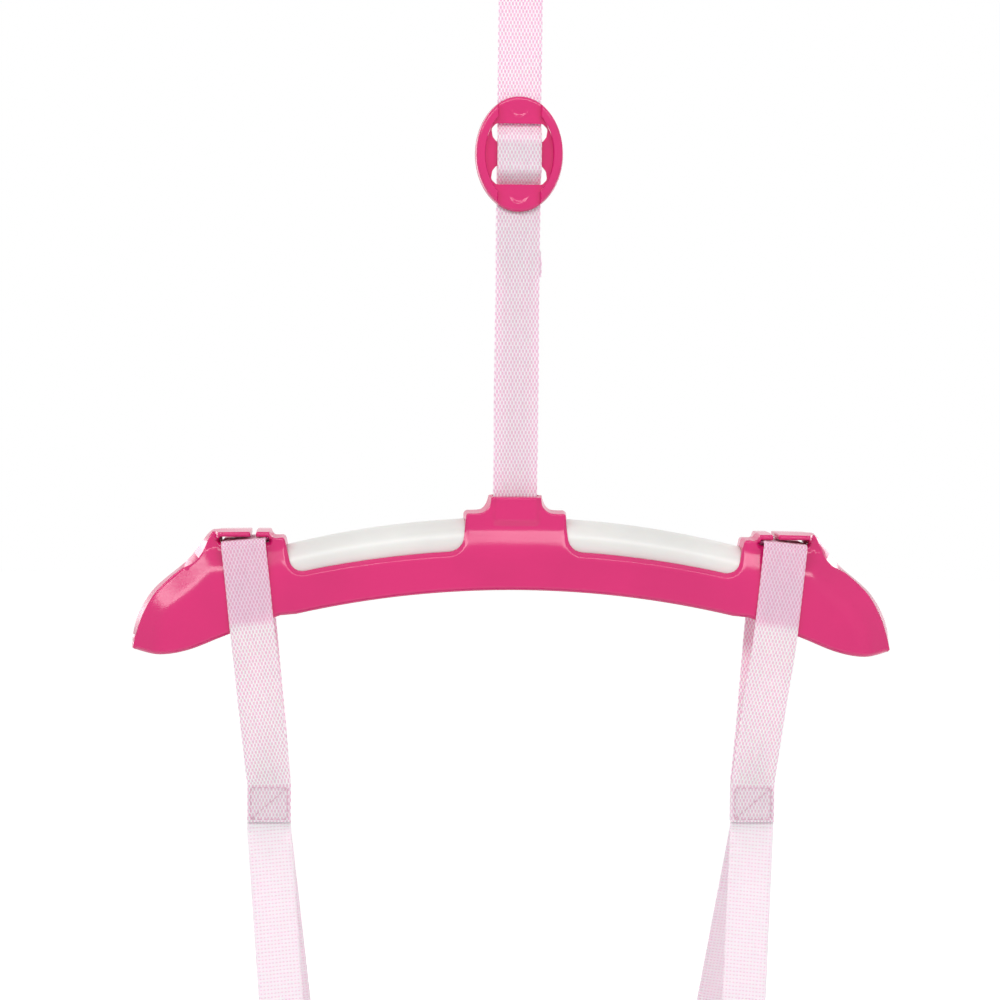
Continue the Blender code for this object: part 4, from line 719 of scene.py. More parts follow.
def shade_relief(obj, relief, flip):
    """Gives the bar's raised face and side walls their exact normals, and leaves cut faces flat."""
    mesh = obj.data
    count = len(mesh.vertices)
    co = np.empty(count * 3)
    mesh.vertices.foreach_get("co", co)
    co = co.reshape(-1, 3) - [0, 0, BAR_Z]
    co[:, 1] *= flip
    places = co[:, [0, 2]]
    on_face = np.abs(-co[:, 1] - relief.heights(places)[0]) < 0.05 * MM
    wanted = relief.slopes(places)
    gap, t = relief.distances(places)
    side = gap.argmin(1)
    share = t[np.arange(count), side][:, None]
    outs = outs_of(relief.points)
    wall = unit(outs[side] * (1 - share) + np.roll(outs, -1, 0)[side] * share)
    wall = unit(np.stack([wall[:, 0], -relief.inset[side] / WALL_HEIGHT, wall[:, 1]], 1))
    on_wall = gap[np.arange(count), side] < relief.inset[side] + 0.1 * MM
    normals = np.zeros((len(mesh.loops), 3))
    for polygon in mesh.polygons:
        face = np.array(polygon.normal)
        face[1] *= flip
        corners, loops = list(polygon.vertices), list(polygon.loop_indices)
        if on_face[corners].all() and (wanted[corners] @ face > 0.3).all() and face[1] < -0.2:
            normals[loops] = wanted[corners]
        elif on_wall[corners].all() and (wall[corners] @ face > 0.8).all():
            normals[loops] = wall[corners]
    normals[:, 1] *= flip
    smoothed(mesh, 32)
    mesh.normals_split_custom_set([tuple(v) for v in normals])


def mirrored(right):
    """A whole outline from its right half, given from top to bottom."""
    left = [(-p[0], *p[1:]) for p in reversed(right) if abs(p[0]) > 1e-9]
    return [*right, *left]


def fine(outline, longest):
    """An outline with its long sides split."""
    found = []
    for a, b in zip(outline, [*outline[1:], outline[0]]):
        a, b = np.array(a), np.array(b)
        parts = max(1, math.ceil(np.linalg.norm((b - a)[:2]) / longest))
        found += [tuple(a + (b - a) * i / parts) for i in range(parts)]
    return found


# Spreader bar

def arched(x, drop, radius):
    """Height of an arch with its crown at -drop on the middle line."""
    return -drop - (radius - math.sqrt(radius**2 - x**2))


TUBE_DROP, TUBE_ARCH = 25.84 * MM, 517 * MM
LIP_DROP, LIP_ARCH = 29.9 * MM, 575 * MM
UNDER_DROP, UNDER_ARCH = 54.0 * MM, 551 * MM
WALL_HEIGHT = 12 * MM
SHOULDER_SLOPE = 0.306


def tube_centre(x):
    """Height of the white tube's middle line from the top of the neck."""
    return arched(x, TUBE_DROP, TUBE_ARCH)


def tube_path(half, count):
    """Points along the tube's middle line."""
    return np.array([(x, 0, BAR_Z + tube_centre(x)) for x in np.linspace(-half, half, count)])


# Lines of the bar's right half in millimetres: x and z, or x, z and the inset of the side wall
NECK = ((15.4, -0.6), (15.7, -2.2), (16.7, -4.9), (18.4, -7.2), (20.6, -8.4), (24.6, -8.7))
TIP_TOP = ((174.9, -23.4, 1.7), (178.6, -28.6, 3.2), (181.8, -33.0, 3.9), (185.0, -37.0, 3.4),
           (188.3, -40.2, 1.9), (191.6, -43.0, 1.1), (199.5, -49.4, 1.4), (206.5, -56.4, 2.0),
           (213.2, -67.3, 2.6), (216.6, -78.0, 2.3))
KEEL = ((210.0, -90.6), (203.0, -91.5), (196.0, -91.2), (189.0, -90.0), (182.0, -88.0), (175.0, -85.3),
        (168.0, -82.3), (150.0, -75.2), (133.0, -69.0))
CREST = ((0.0, -8.7), (20.0, -8.75), (60.0, -11.6), (100.0, -16.4), (134.0, -22.6), (158.0, -25.6),
         (176.0, -29.0), (185.0, -37.0), (190.6, -42.0), (199.5, -49.4), (206.5, -56.4), (213.2, -67.3),
         (216.6, -78.0), (217.8, -88.5), (218.2, -96.0))
FINGER_TOP, FINGER_UNDER = -20.6, -24.1


def bar_outline(slot_start, slot_end):
    """The bar seen from the front: (x, z, wall inset, edge fall, edge width)."""
    lip_edge, top_edge, soft = (0.5, 3.0, 3.0), (1.2, 0.5, 0.9), (0.3, 1.3, 1.3)
    under, crisp = (0.8, 2.4, 2.4), (0.5, 0.8)

    def lip(x):
        return arched(x * MM, LIP_DROP, LIP_ARCH) / MM

    points = [(0, 0, 0.5, 1.0, 1.0), (14.6, 0, 0.6, 1.0, 1.0), (15.2, -0.2, 0.9, 0.8, 1.0)]
    points += [(x, z, 1.2 + 0.7 * max(0, 1 - abs(z + 5) / 4), *crisp) for x, z in catmull(NECK, 3)]
    corners = [
        (*NECK[-1], 0, *top_edge),
        (29.4, -8.7, 2.6, *top_edge),
        (30.2, lip(30.2), 9.0, *lip_edge),
        *[(x, lip(x), 0, *lip_edge) for x in range(46, 118, 8)],
        (126.2, lip(126.2), 7.0, *lip_edge),
        (130.4, -23.6, 2.4, 0.7, 1.2, 1.4),
        (136.6, -23.4, 2.2, *top_edge),
        (139.2, FINGER_TOP, 1.6, *soft),
        (147.2, FINGER_TOP, 0.9, *soft),
        (147.2, FINGER_UNDER, 0.9, *soft),
        (slot_start, FINGER_UNDER, 0.8, *soft),
        *[(x, -SADDLE_DROP / MM, 1.0, 0.3, 2.4, 2.4) for x in (slot_start, slot_end)],
        (slot_end, FINGER_UNDER, 0.8, *soft),
        (149.8, FINGER_UNDER, 0.9, *soft),
        (149.8, FINGER_TOP, 0.9, *soft),
        (171.9, FINGER_TOP, 2.4, 0.7, 1.0, 1.0),
        (*TIP_TOP[0][:2], 0, 1.7, *crisp),
    ]
    points += rounded(corners, 6)[1:-1]
    points += [(x, z, inset, *crisp) for x, z, inset in catmull([*TIP_TOP, (217.8, -88.6, 1.0)], 4)[:-1]]
    points += [(217.7, -88.3, 1.0, *crisp), (217.2, -89.0, 0.8, 1.2, 1.4)]
    points += [(x, z, *under) for x, z in catmull([(217.0, -89.1), *KEEL], 3)[1:]]
    points += [(x, arched(x * MM, UNDER_DROP, UNDER_ARCH) / MM, *under) for x in range(124, 0, -8)]
    points.append((0, -UNDER_DROP / MM, *under))
    return fine(mirrored([tuple(v * MM for v in p) for p in points]), 1.6 * MM)


def crest_line():
    """The upper line that the bar's bulge falls away from, drawn over the windows too."""
    right = catmull(CREST, 6) * MM
    return np.vstack([right[:0:-1] * [-1, 1], right])


def soft_max(a, b, reach):
    """The greater of two heights, blended where they are close."""
    h = np.clip(0.5 + (a - b) / (2 * reach), 0, 1)
    return b + (a - b) * h + reach * h * (1 - h)


def step(value, low, high):
    """Smooth step from 0 to 1."""
    t = np.clip((value - low) / (high - low), 0, 1)
    return t * t * (3 - 2 * t)


def bar_level(with_pocket):
    """The bar's raised face before its edges are rounded."""
    spacing = soft = 1.6 * MM
    reach = 10.5 * MM
    crest = even(crest_line(), spacing)[0]
    way = tangents(crest)

    def level(places):
        off = places[:, None] - crest
        gap = np.sqrt((off**2).sum(2))
        near = gap.argmin(1)
        rows = np.arange(len(places))
        least = gap[rows, near]
        below = way[near, 0] * off[rows, near, 1] - way[near, 1] * off[rows, near, 0] < 0
        total = np.exp((least[:, None] - gap) / soft).sum(1)
        least = least - soft * np.log(total * spacing / np.sqrt(TAU * soft * (least + soft)))
        signed = np.where(below, 1, -1) * np.maximum(least, 0)
        x, z = np.abs(places[:, 0]), places[:, 1]
        hub, tip = 1 - step(x, 34 * MM, 80 * MM), step(x, 145 * MM, 175 * MM)
        slope = SHOULDER_SLOPE * (1 + tip)
        left = (16 + 1.5 * hub - 5 * tip) * MM + reach - signed
        curve = slope * np.where(left > reach, left - reach / 2, np.maximum(left, 0) ** 2 / (2 * reach))
        face = soft_max(BAR_DEPTH - curve, BAR_DEPTH - slope * (8.5 * MM + reach / 2), 0.3 * MM)
        if with_pocket:
            share = (1 - step(x, 10.8 * MM, 14.0 * MM)) * (1 - step(-z, 13.4 * MM, 17.0 * MM))
            face = face + 1.5 * MM * share
        finger = step(z, -26.3 * MM, -24.5 * MM) * step(x, 137 * MM, 140 * MM)
        finger *= 1 - step(x, 167.5 * MM, 171 * MM)
        return face * (1 - finger) + 15.6 * MM * finger

    return level


def hold_before_tube(relief):
    """Keeps the rounded edges of the windows in front of the tube's bore."""
    x, z = relief.points.T
    centre = np.array([tube_centre(v) for v in x])
    bore = np.sqrt(np.maximum((TUBE_RADIUS + GAP) ** 2 - (z - centre) ** 2, 0))
    room = np.maximum(relief.level(relief.points) - bore - 0.6 * MM, 0.2 * MM)
    beside = (bore > 0) & (np.abs(x) < 135 * MM)
    relief.fall = np.where(beside, np.minimum(relief.fall, room), relief.fall)


# Holes for a screw in the front (-1) and back (+1) shell in millimetres: from and to in depth, and radius
SCREW_HOLES = {-1: ((1, -13, 1.8),), 1: ((8, 20, 3.4), (-1, 9, 1.8))}
SCREWS = range(1, 7)


def bar_half(name, side, node):
    """One shell of the bar, front (-1) or back (+1), bored for the tube, the webbing and the screws."""
    slot = (139.9, 167.6) if side < 0 else (140.8, 166.6)
    relief = Relief(bar_outline(*slot), bar_level(side < 0), 0.15 * MM)
    hold_before_tube(relief)
    mesh = relief_solid(name, relief, 2.1 * MM)
    if side > 0:
        mesh.transform(Matrix.Scale(-1, 4, (0, 1, 0)))
        outward(mesh)
    mesh.transform(Matrix.Translation((0, 0, BAR_Z)))
    made = loose(name, mesh)
    bore = swept(tube_path(TUBE_HALF_LENGTH + GAP, 49), circle(TUBE_RADIUS + GAP, 48), (0, 1, 0))
    cut(made, solid_tool("bore", bore.reshape(-1, 3), tube_faces(49, 48)))
    room, half = 4.9 * MM, WEB_WIDTH / 2 + 0.7 * MM
    cut(made, block((-half, -room, BAR_Z - 13.1 * MM), (half, room, BAR_Z - 8.0 * MM)))
    flare = [(-room, -8.2 * MM), (room, -8.2 * MM), (7.3 * MM, 2 * MM), (-7.3 * MM, 2 * MM)]
    mouth = [(x, y, BAR_Z + z) for x in (-half, half) for y, z in flare]
    cut(made, solid_tool("mouth", mouth, tube_faces(2, 4)))
    reach = half + 3.6 * MM
    holes = [((-reach, 0, HUB_PIN_Z), (reach, 0, HUB_PIN_Z), 2.8 * MM)]
    for i in SCREWS:
        x, _, z = middle(f"bar_screw_{i}")
        for start, end, radius in SCREW_HOLES[side]:
            holes.append(((x, start * MM, z), (x, end * MM, z), radius * MM))
    for hole in holes:
        cut(made, drum(*hole))
    shade_relief(made, relief, -side)
    return dress(made, finish("pink_plastic_gloss"), "bar", "pink_plastic", (node,), smooth=None)


class JUMPER_OT_bar(bpy.types.Operator):
    """Builds the spreader bar's two shells, its white tube and its screws"""

    bl_idname = "jumper.bar"
    bl_label = "Spreader bar"

    def execute(self, context):
        bar_half("bar_front", -1, "bar_front_shell")
        bar_half("bar_back", 1, "bar_back_shell")
        tube = swept(tube_path(TUBE_HALF_LENGTH, 121), circle(TUBE_RADIUS, 64), (0, 1, 0))
        loft("core_tube", tube, finish("white_plastic_satin"), "bar", slot="white_plastic",
             replaces=("bar_core_tube",), smooth=40)
        carry(finish("zinc_steel"), "hub_pin", *[f"bar_screw_{i}" for i in SCREWS])
        return {"FINISHED"}


# Height adjuster

BUCKLE_HALF = (25.0 * MM, 32.5 * MM)
CROSSBAR_HALF = 6.8 * MM
SLOT_HEIGHT = 10.3 * MM
PLATE_HALF = 1.6 * MM


def slot_outline(side):
    """One webbing slot of the buckle, above (+1) or below (-1) the crossbar."""
    right = [(13.0, 17.1, 2.2), (15.9, 14.2, 2.6), (15.2, 9.6, 3.0), (13.0, 6.8, 1.4)]
    corners = [(x, side * z, r) for x, z, r in right] + [(-x, side * z, r) for x, z, r in right[::-1]]
    return np.array([(x * MM, z * MM) for x, z in rounded(corners, 6)])


def buckle_level(places):
    """The buckle's face, a little higher at its ends, with a thumb mark in each."""
    x, z, mark = np.abs(places[:, 0]), places[:, 1], 5.2 * MM
    dish = 3.0 * MM + 0.5 * MM * step(np.abs(z), 20 * MM, 30 * MM)
    up = (z - np.sign(z) * 24.4 * MM - 1.8 * MM) / mark
    reach = np.hypot(x / mark, up)
    smile = np.exp(-((reach - 1) / 0.13) ** 2) * step(-up, 0.05, 0.6)
    return dish + 0.45 * MM * smile - 0.25 * MM * (reach < 1) * step(-up, 0.0, 0.5)


def rim_outline(side):
    """A side rim of the buckle: out along its outer edge and back along its inner one."""
    rim = []
    for inset, way, edge in ((0.25, 1, (0.3, 1.3, 1.6)), (5.9, -1, (0.2, 0.5, 0.5))):
        a, b = (half - inset * MM for half in BUCKLE_HALF)
        end = way * math.acos(11.6 * MM / a)
        rim += [(side * a * math.cos(t), b * math.sin(t), *[v * MM for v in edge])
                for t in np.linspace(-end, end, 60)]
    return rim


class JUMPER_OT_adjuster(bpy.types.Operator):
    """Builds the oval height adjuster with its two slots, side rims and thumb marks"""

    bl_idname = "jumper.adjuster"
    bl_label = "Height adjuster"

    def execute(self, context):
        edge = (0.4 * MM, 0.9 * MM, 1.2 * MM)
        oval = [(BUCKLE_HALF[0] * math.cos(t), BUCKLE_HALF[1] * math.sin(t), *edge)
                for t in np.arange(160) * TAU / 160]
        plate = loose("adjuster", relief_solid("adjuster", Relief(oval, buckle_level, 0.0), 0.9 * MM))
        for side in (1, -1):
            rim = Relief(rim_outline(side), lambda places: 6.6 * MM + 0 * places[:, 0], 0.4 * MM)
            cut(plate, loose("rim", relief_solid("rim", rim, 1.2 * MM)), "UNION")
        for side in (1, -1):
            hole = slot_outline(side)
            points = [(x, y, z) for y in (-9 * MM, 3 * MM) for x, z in hole]
            cut(plate, solid_tool("slot", points, tube_faces(2, len(hole))))
        bevel = plate.modifiers.new("edges", "BEVEL")
        bevel.width, bevel.segments = 0.35 * MM, 2
        bevel.limit_method, bevel.angle_limit = "ANGLE", math.radians(50)
        done = applied(plate)
        bpy.data.objects.remove(plate)
        done.transform(Matrix.Translation((0, BUCKLE_Y + PLATE_HALF, BUCKLE_Z)))
        dress(loose("adjuster", done), finish("pink_plastic_gloss"), "adjuster", "pink_plastic",
              ("adjuster_buckle",), smooth=40)
        return {"FINISHED"}


# Webbing between the ring and the bar

def level_path(points, y=0, z=0):
    """A path in the middle plane from points (y, z), moved by y and z."""
    return np.array([(0, y + a, z + b) for a, b in points])


LAYER_MAIN = 2.6 * MM
LAYER_TAIL = LAYER_MAIN + WEB_PITCH
LAYER_REAR = LAYER_MAIN + 2 * WEB_PITCH
CORNER_LIFT = WEB_THICK / 2 + 1.4 * GAP
LAYER_FRONT = PLATE_HALF + CORNER_LIFT + WEB_PITCH
# Webbing goes on past the adjuster's middle by PAST, and the straps beyond it are tucked in behind its plate
PAST, TUCKED = 25.0 * MM, 11.5 * MM
UPPER_END_Z = BUCKLE_HIGH.z + 4 * MM
LOWER_END_Z = BUCKLE_LOW.z - 4 * MM
WIRE_WRAP = RING_WIRE + GAP + WEB_THICK / 2
# Shares of the main layer's depth and of the slot's height, from the crossbar out
MAIN_SHARES = ((-1.8, 0.23), (0.0, 0.69), (0.95, 0.95))
TAIL_SHARES = ((-1.1, 0.0), (-0.62, 0.2), (1.14, 0.62), (1.8, 0.99))
RISER_SHARES = ((2.55, 0.94), (1.95, 0.5), (1.14, 0.07))


def through_slot(shares, side):
    """Places in a slot from shares of a layer's depth and of the slot's height."""
    return [(LAYER_MAIN * depth, side * (CROSSBAR_HALF + SLOT_HEIGHT * height)) for depth, height in shares]


class JUMPER_OT_straps(bpy.types.Operator):
    """Builds the webbing from the ring through the adjuster to the bar"""

    bl_idname = "jumper.straps"
    bl_label = "Adjuster webbing"

    def execute(self, context):
        self.upper()
        self.over_crossbar()
        self.sewn_end()
        self.lower()
        return {"FINISHED"}

    def upper(self):
        """From the ring to the adjuster, with a short tail behind."""
        front = BUCKLE_Y + LAYER_MAIN
        tail = [(front + WEB_PITCH, -30 * MM), (front + WEB_PITCH, -15 * MM)]
        loop = [(WIRE_WRAP * math.cos(a), WIRE_WRAP * math.sin(a))
                for a in np.linspace(-HALF_PI / 3, math.pi + HALF_PI / 3, 17)]
        end = UPPER_END_Z - RING_BOTTOM_Z
        run = [(front, z) for z in (-15 * MM, -30 * MM, end / 2, end - TUCKED)]
        path = level_path([*tail, *loop, *run], z=RING_BOTTOM_Z)
        made = webbing("upper_webbing", catmull(path, 3), web(), None, waver=0.08 * MM,
                       replaces=("upper_strap",))
        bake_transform(made)

    def over_crossbar(self):
        """The pass through both slots and over the crossbar."""
        edge = CROSSBAR_HALF + SLOT_HEIGHT + WEB_PITCH
        down = [(LAYER_MAIN, PAST), (LAYER_MAIN, edge), *through_slot(MAIN_SHARES[::-1], 1),
                (-LAYER_FRONT, CROSSBAR_HALF / 2), (-LAYER_FRONT, -CROSSBAR_HALF / 2),
                *through_slot(MAIN_SHARES, -1), (LAYER_MAIN, -edge), (LAYER_MAIN, -PAST)]
        webbing("webbing_over_crossbar", catmull(level_path(down, BUCKLE_Y, BUCKLE_Z), 8), web(), "adjuster",
                spacing=1.2 * MM, replaces=("strap_over_adjuster",))

    def sewn_end(self):
        """The end that goes round the crossbar and comes back down."""
        edge = CROSSBAR_HALF + SLOT_HEIGHT + WEB_PITCH
        lift = PLATE_HALF + CORNER_LIFT
        corners = [(side * PLATE_HALF + CORNER_LIFT * math.cos(a), CROSSBAR_HALF + CORNER_LIFT * math.sin(a))
                   for side, start in ((1, 0), (-1, HALF_PI)) for a in start + HALF_PI * np.arange(4) / 3]
        wrap = [(LAYER_REAR, -PAST), (LAYER_REAR, -edge), *through_slot(RISER_SHARES, -1),
                (lift, -CROSSBAR_HALF / 2), *corners, (-lift, -CROSSBAR_HALF / 2),
                *through_slot(TAIL_SHARES, -1),
                *[(LAYER_TAIL, -z) for z in (edge, PAST, 55 * MM, 58 * MM, 69 * MM)]]
        path = level_path(wrap, BUCKLE_Y, BUCKLE_Z)
        path[-2:, 0] += 1.2 * MM
        webbing("webbing_sewn_end", catmull(path, 6), web(), "adjuster", spacing=1.2 * MM,
                replaces=("strap_end_loop",))

    def lower(self):
        """Both layers from the adjuster round the bar's pin."""
        top = LOWER_END_Z - HUB_PIN_Z
        shares = ((0.08, 1.0), (0.2, 0.98), (0.35, 0.9), (0.5, 0.75), (1.0, 0.0))
        front, rear = BUCKLE_Y + LAYER_MAIN, BUCKLE_Y + LAYER_REAR
        down = [(front + (-WIRE_WRAP - front) * s, top * r) for r, s in shares[::-1]]
        loop = [(-WIRE_WRAP * math.cos(a), -WIRE_WRAP * math.sin(a)) for a in np.linspace(0, math.pi, 13)]
        up = [(rear + (WIRE_WRAP - rear) * s, top * r) for r, s in shares]
        ends = (front, top + TUCKED), (rear, top + TUCKED)
        path = level_path([ends[0], *down, *loop, *up, ends[1]], z=HUB_PIN_Z)
        made = webbing("lower_webbing", catmull(path, 4), web(), None, waver=0.08 * MM,
                       replaces=("lower_strap",))
        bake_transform(made)


# Side loops and seat straps

def hoop_point(x):
    """Distance to the back of the hoop's line at a distance x to the side, and its turn there."""
    over = max(0.0, x - (HOOP_HALF_X - HOOP_CORNER))
    return HOOP_HALF_Y - HOOP_CORNER + math.sqrt(HOOP_CORNER**2 - over**2), math.asin(over / HOOP_CORNER)


def stitches(name, lines, body, length=2.9 * MM, gap=0.7 * MM):
    """Rows of sewn stitches, each a short thread with rounded ends; lines are (start, end, out)."""
    radius, rings, sides = 0.3 * MM, 7, 8
    points, faces = [], []
    for start, end, out in lines:
        start, end, out = Vector(start), Vector(end), Vector(out)
        run = end - start
        count = max(1, round(run.length / (length + gap)))
        way = run.normalized()
        side = way.cross(out).normalized()
        for i in range(count):
            centre = start + run * (i + 0.5) / count
            faces += tube_faces(rings, sides, start=len(points))
            for s in np.linspace(-1, 1, rings):
                swell = math.sqrt(max(0.02, 1 - abs(s) ** 4))
                dip = -radius * 0.75 * s * s
                for a in np.arange(sides) * TAU / sides:
                    points.append(centre + way * (s * length / 2) + side * math.cos(a) * radius * swell
                                  + out * (math.sin(a) * radius * swell + dip))
    made = piece(name, points, faces, finish("sewing_thread"), body, slot="pale_webbing")
    outward(made.data)


SEAM_TOP, SEAM_END = -LOOP_DROP, -LOOP_DROP - LOOP_SEAM
LOOP_LAYER = WEB_PITCH * 3 / 2
HOOK_EDGE = 3.0 * MM


def strap_spot(side, y, z):
    """A place on one side's straps at a depth, and a height from the hook's saddle."""
    return (side * (SADDLE_X + LOOP_LEAN / LOOP_DROP * max(SEAM_TOP, min(0.0, z))), y, SADDLE_Z + z)


def hanging_loop(label, side):
    """The loop over one of the bar's hooks."""
    lift = GAP + WEB_THICK / 2
    face, bend, flat = BAR_DEPTH + lift, HOOK_EDGE + lift, BAR_DEPTH - HOOK_EDGE
    low, high = (LOOP_LAYER + 0.1 * MM, SEAM_TOP + 2 * WEB_PITCH), (face, -54.4 * MM)
    leg = [(LOOP_LAYER, SEAM_END), (LOOP_LAYER, SEAM_TOP), low]
    rise = [(low[0] + (high[0] - low[0]) * t, low[1] + (high[1] - low[1]) * t)
            for t in (0.06, 0.16, 0.35, 0.65)]
    rise += [high, (face, high[1] / 2)]
    corner = [(flat + bend * math.cos(a), -HOOK_EDGE + bend * math.sin(a))
              for a in np.linspace(0, HALF_PI, 6)]
    half = [*leg, *rise, *corner]
    path = np.array([strap_spot(side, -y, z) for y, z in half]
                    + [strap_spot(side, y, z) for y, z in reversed(half)])
    # Painted light: the loop's webbing is painted pink, for the pink bar behind it, from about 10.5 mm above
    # the bar's underside on one leg to the same place on the other.
    bar_edge = high[1] + 10.5 * MM - SEAM_END
    material = web(on_bar=(bar_edge, lengths(path)[-1] - bar_edge))
    made = webbing(f"{label}_loop", catmull(path, 5), material, None, waver=0.1 * MM,
                   across=(1, 0, -side * LOOP_LEAN / LOOP_DROP), replaces=(f"{label}_hanging_loop",))
    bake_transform(made)


def seat_strap(label, side):
    """One side's strap, from the hoop's rear through the seam to its front."""
    inner = WEB_PITCH / 2
    wrap = HOOP_RADIUS + 1.5 * MM + WEB_THICK / 2
    y_hoop, twist = hoop_point(STRAP_SPREAD)
    middle_across, up = Vector((1, 0, 0)), Vector((0, 0, wrap))
    runs = []
    for way in (1, -1):
        across = Vector((math.cos(twist), -way * side * math.sin(twist), 0))
        out = Vector((side * math.sin(twist), way * math.cos(twist), 0))
        hub = Vector((side * STRAP_SPREAD, way * y_hoop, HOOP_Z))
        start = Vector(strap_spot(side, way * inner, SEAM_END - 2 * WEB_PITCH))
        end = hub + out * wrap + up
        run = [(start.lerp(end, t), middle_across.lerp(across, t)) for t in np.linspace(0, 1, 25)]
        under = [(hub + out * wrap * math.cos(a) - up * math.sin(a), across)
                 for a in np.linspace(0, math.pi, 13)]
        back = (start - end).normalized() * 24 * MM
        behind = end - out * WEB_PITCH * 1.3
        tail = [(hub - out * wrap + up, across), (behind + back, across), (behind + back * 2, across)]
        runs.append([*run, *under, *tail])
    fold = [(Vector(strap_spot(side, inner * math.cos(a), SEAM_TOP - GAP - inner + inner * math.sin(a))),
             middle_across) for a in np.linspace(0, math.pi, 9)]
    points, across = (np.array([tuple(v) for v in column])
                      for column in zip(*reversed(runs[0]), *fold, *runs[1]))
    run = lengths(points)
    at = np.linspace(0, run[-1], int(run[-1] / (2.2 * MM)))
    strap(f"{label}_straps", sampled(points, run, at), at, unit(sampled(across, run, at)), web(rows=True),
          "seat", replaces=(f"{label}_seat_strap",))


def seam_stitches(label, side):
    """The sewn box with its diagonal, in front and behind."""
    inset, half_width = 1.6 * MM, WEB_WIDTH / 2 - 2.0 * MM
    centre = strap_spot(side, 0, SEAM_TOP)[0]
    lines = []
    for way in (-1, 1):
        y = way * (LOOP_LAYER + WEB_THICK / 2 + 0.02 * MM)
        box = [Vector((centre + u, y, SADDLE_Z + z)) for u, z in (
            (-half_width, SEAM_TOP - inset), (half_width, SEAM_TOP - inset),
            (half_width, SEAM_END + inset), (-half_width, SEAM_END + inset))]
        lines += [(box[i], box[k], (0, way, 0)) for i, k in ((0, 1), (3, 2), (3, 1), (0, 3), (1, 2))]
    stitches(f"{label}_seam_stitches", lines, "seat")


class JUMPER_OT_loops(bpy.types.Operator):
    """Builds the two loops on the bar's hooks, the seat straps and their sewn seams"""

    bl_idname = "jumper.loops"
    bl_label = "Loops and seat straps"

    def execute(self, context):
        for label, side in (("left", -1), ("right", 1)):
            hanging_loop(label, side)
            seat_strap(label, side)
            seam_stitches(label, side)
        return {"FINISHED"}


# Clamp and spring

class JUMPER_OT_clamp(bpy.types.Operator):
    """Finishes the door clamp and the hanger below it"""

    bl_idname = "jumper.clamp"
    bl_label = "Door clamp"

    def execute(self, context):
        carry(finish("pink_plastic_gloss"), "front_jaw", "rear_jaw")
        carry(finish("moulded_rubber"), "front_jaw_pad", "rear_jaw_pad")
        carry(finish("zinc_steel"), "clamp_pivot_pin", "clamp_torsion_spring", "left_hanger_plate",
              "right_hanger_plate", "hanger_rod")
        return {"FINISHED"}


# Section of a spring cap in millimetres: distance out, height and rounding
CUP_SECTION = ((9.0, 3.0, 0.8), (20.0, 3.0, 2.4), (20.0, -6.0, 0.9), (14.6, -6.0, 0.7), (14.6, 0.0, 0.4),
               (9.0, 0.0, 0.4))


def spring_cup(name, way, level, body):
    """A cap of the spring, open down (1) or up (-1), with shallow flutes round its outside."""
    section = np.array([(r, z * way) for r, z in rounded(CUP_SECTION, 5)]) * MM
    sides, flutes = 144, 24
    angles = (np.arange(sides) * TAU / sides)[:, None]
    dip = 0.6 * MM * (0.5 + 0.5 * np.cos(angles * flutes)) ** 2
    radius = section[:, 0] - dip * (section[:, 0] > section[:, 0].max() - 0.3 * MM)
    heights = np.broadcast_to(level + section[:, 1], radius.shape)
    rings = np.stack([radius * np.cos(angles), radius * np.sin(angles), heights], 2)
    loft(f"spring_{name}_cup", rings, finish("pink_plastic_gloss"), body, closed=True, slot="pink_plastic",
         replaces=(f"spring_{name}_cap",))


def hook_line(seat_z, direction, seat):
    """A hook of the spring round a rod at a height, from tip to foot, opening up (-1) or down (1)."""
    centre = seat_z + direction * seat
    turns = direction * HALF_PI - TAU * 5 / 6 * (1 - np.arange(25) / 24)
    return [(0, HOOK_RADIUS * math.cos(a), centre + HOOK_RADIUS * math.sin(a)) for a in turns]


def fall_with_spring(made):
    """Bakes a piece's place into its mesh."""
    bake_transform(made)


def gathered_cover():
    """The cloth cover, gathered by elastic in rows round the coil."""
    top, height = COIL_TOP_Z - 4.3 * MM, COIL_LENGTH - 8.6 * MM
    rows, columns, puffs, pleats = 163, 144, 9, 19
    down = np.linspace(0, 1, rows)[:, None]
    around = np.arange(columns)[None, :] * TAU / columns
    puff = np.abs(np.sin(math.pi * puffs * down)) ** 0.75
    row = np.floor(down * puffs * 0.999)
    turn = around * pleats + row * 2.1 + 0.5 * np.sin(3 * around + row)
    crease = (1 - puff) * np.cos(turn) * 0.55 + 0.28 * puff * np.cos(turn * 0.5 + 1.1 * row)
    outside = (15.9 + 2.3 * puff + crease * 0.8) * MM
    heights = top - height * down
    faces = [np.stack(np.broadcast_arrays(radius * np.cos(around), radius * np.sin(around), heights), 2)
             for radius in (outside, 14.9 * MM)]
    made = loft("spring_cover", np.concatenate([faces[0], faces[1][::-1]]), finish("pink_cloth"), None,
                closed=True, slot="pink_fabric", replaces=("spring_sleeve",))
    fall_with_spring(made)


def bounce_coil():
    """The coil with its hooked ends."""
    per_turn = 28
    count = COIL_TURNS * per_turn
    coil = [(COIL_RADIUS * math.cos(TAU * i / per_turn), COIL_RADIUS * math.sin(TAU * i / per_turn),
             COIL_TOP_Z - COIL_LENGTH * i / count) for i in range(count + 1)]
    upper = [*hook_line(ROD_Z, -1, 2.0 * MM), (COIL_RADIUS / 2, -COIL_RADIUS / 4, COIL_TOP_Z), coil[0]]
    lower = [coil[-1], (COIL_RADIUS / 2, COIL_RADIUS / 4, COIL_BOTTOM_Z),
             *hook_line(RING_TOP_Z, 1, 2.5 * MM)[::-1]]
    path = np.array([*upper[:-3], *catmull(upper[-4:], 5)[5:-1], *coil[:-1], *catmull(lower[:4], 5)[:-5],
                     *lower[3:]])
    fall_with_spring(rod("bounce_coil", path, 1.7 * MM, finish("zinc_steel"), None, sides=14, slot="steel",
                         replaces=("bounce_spring",)))


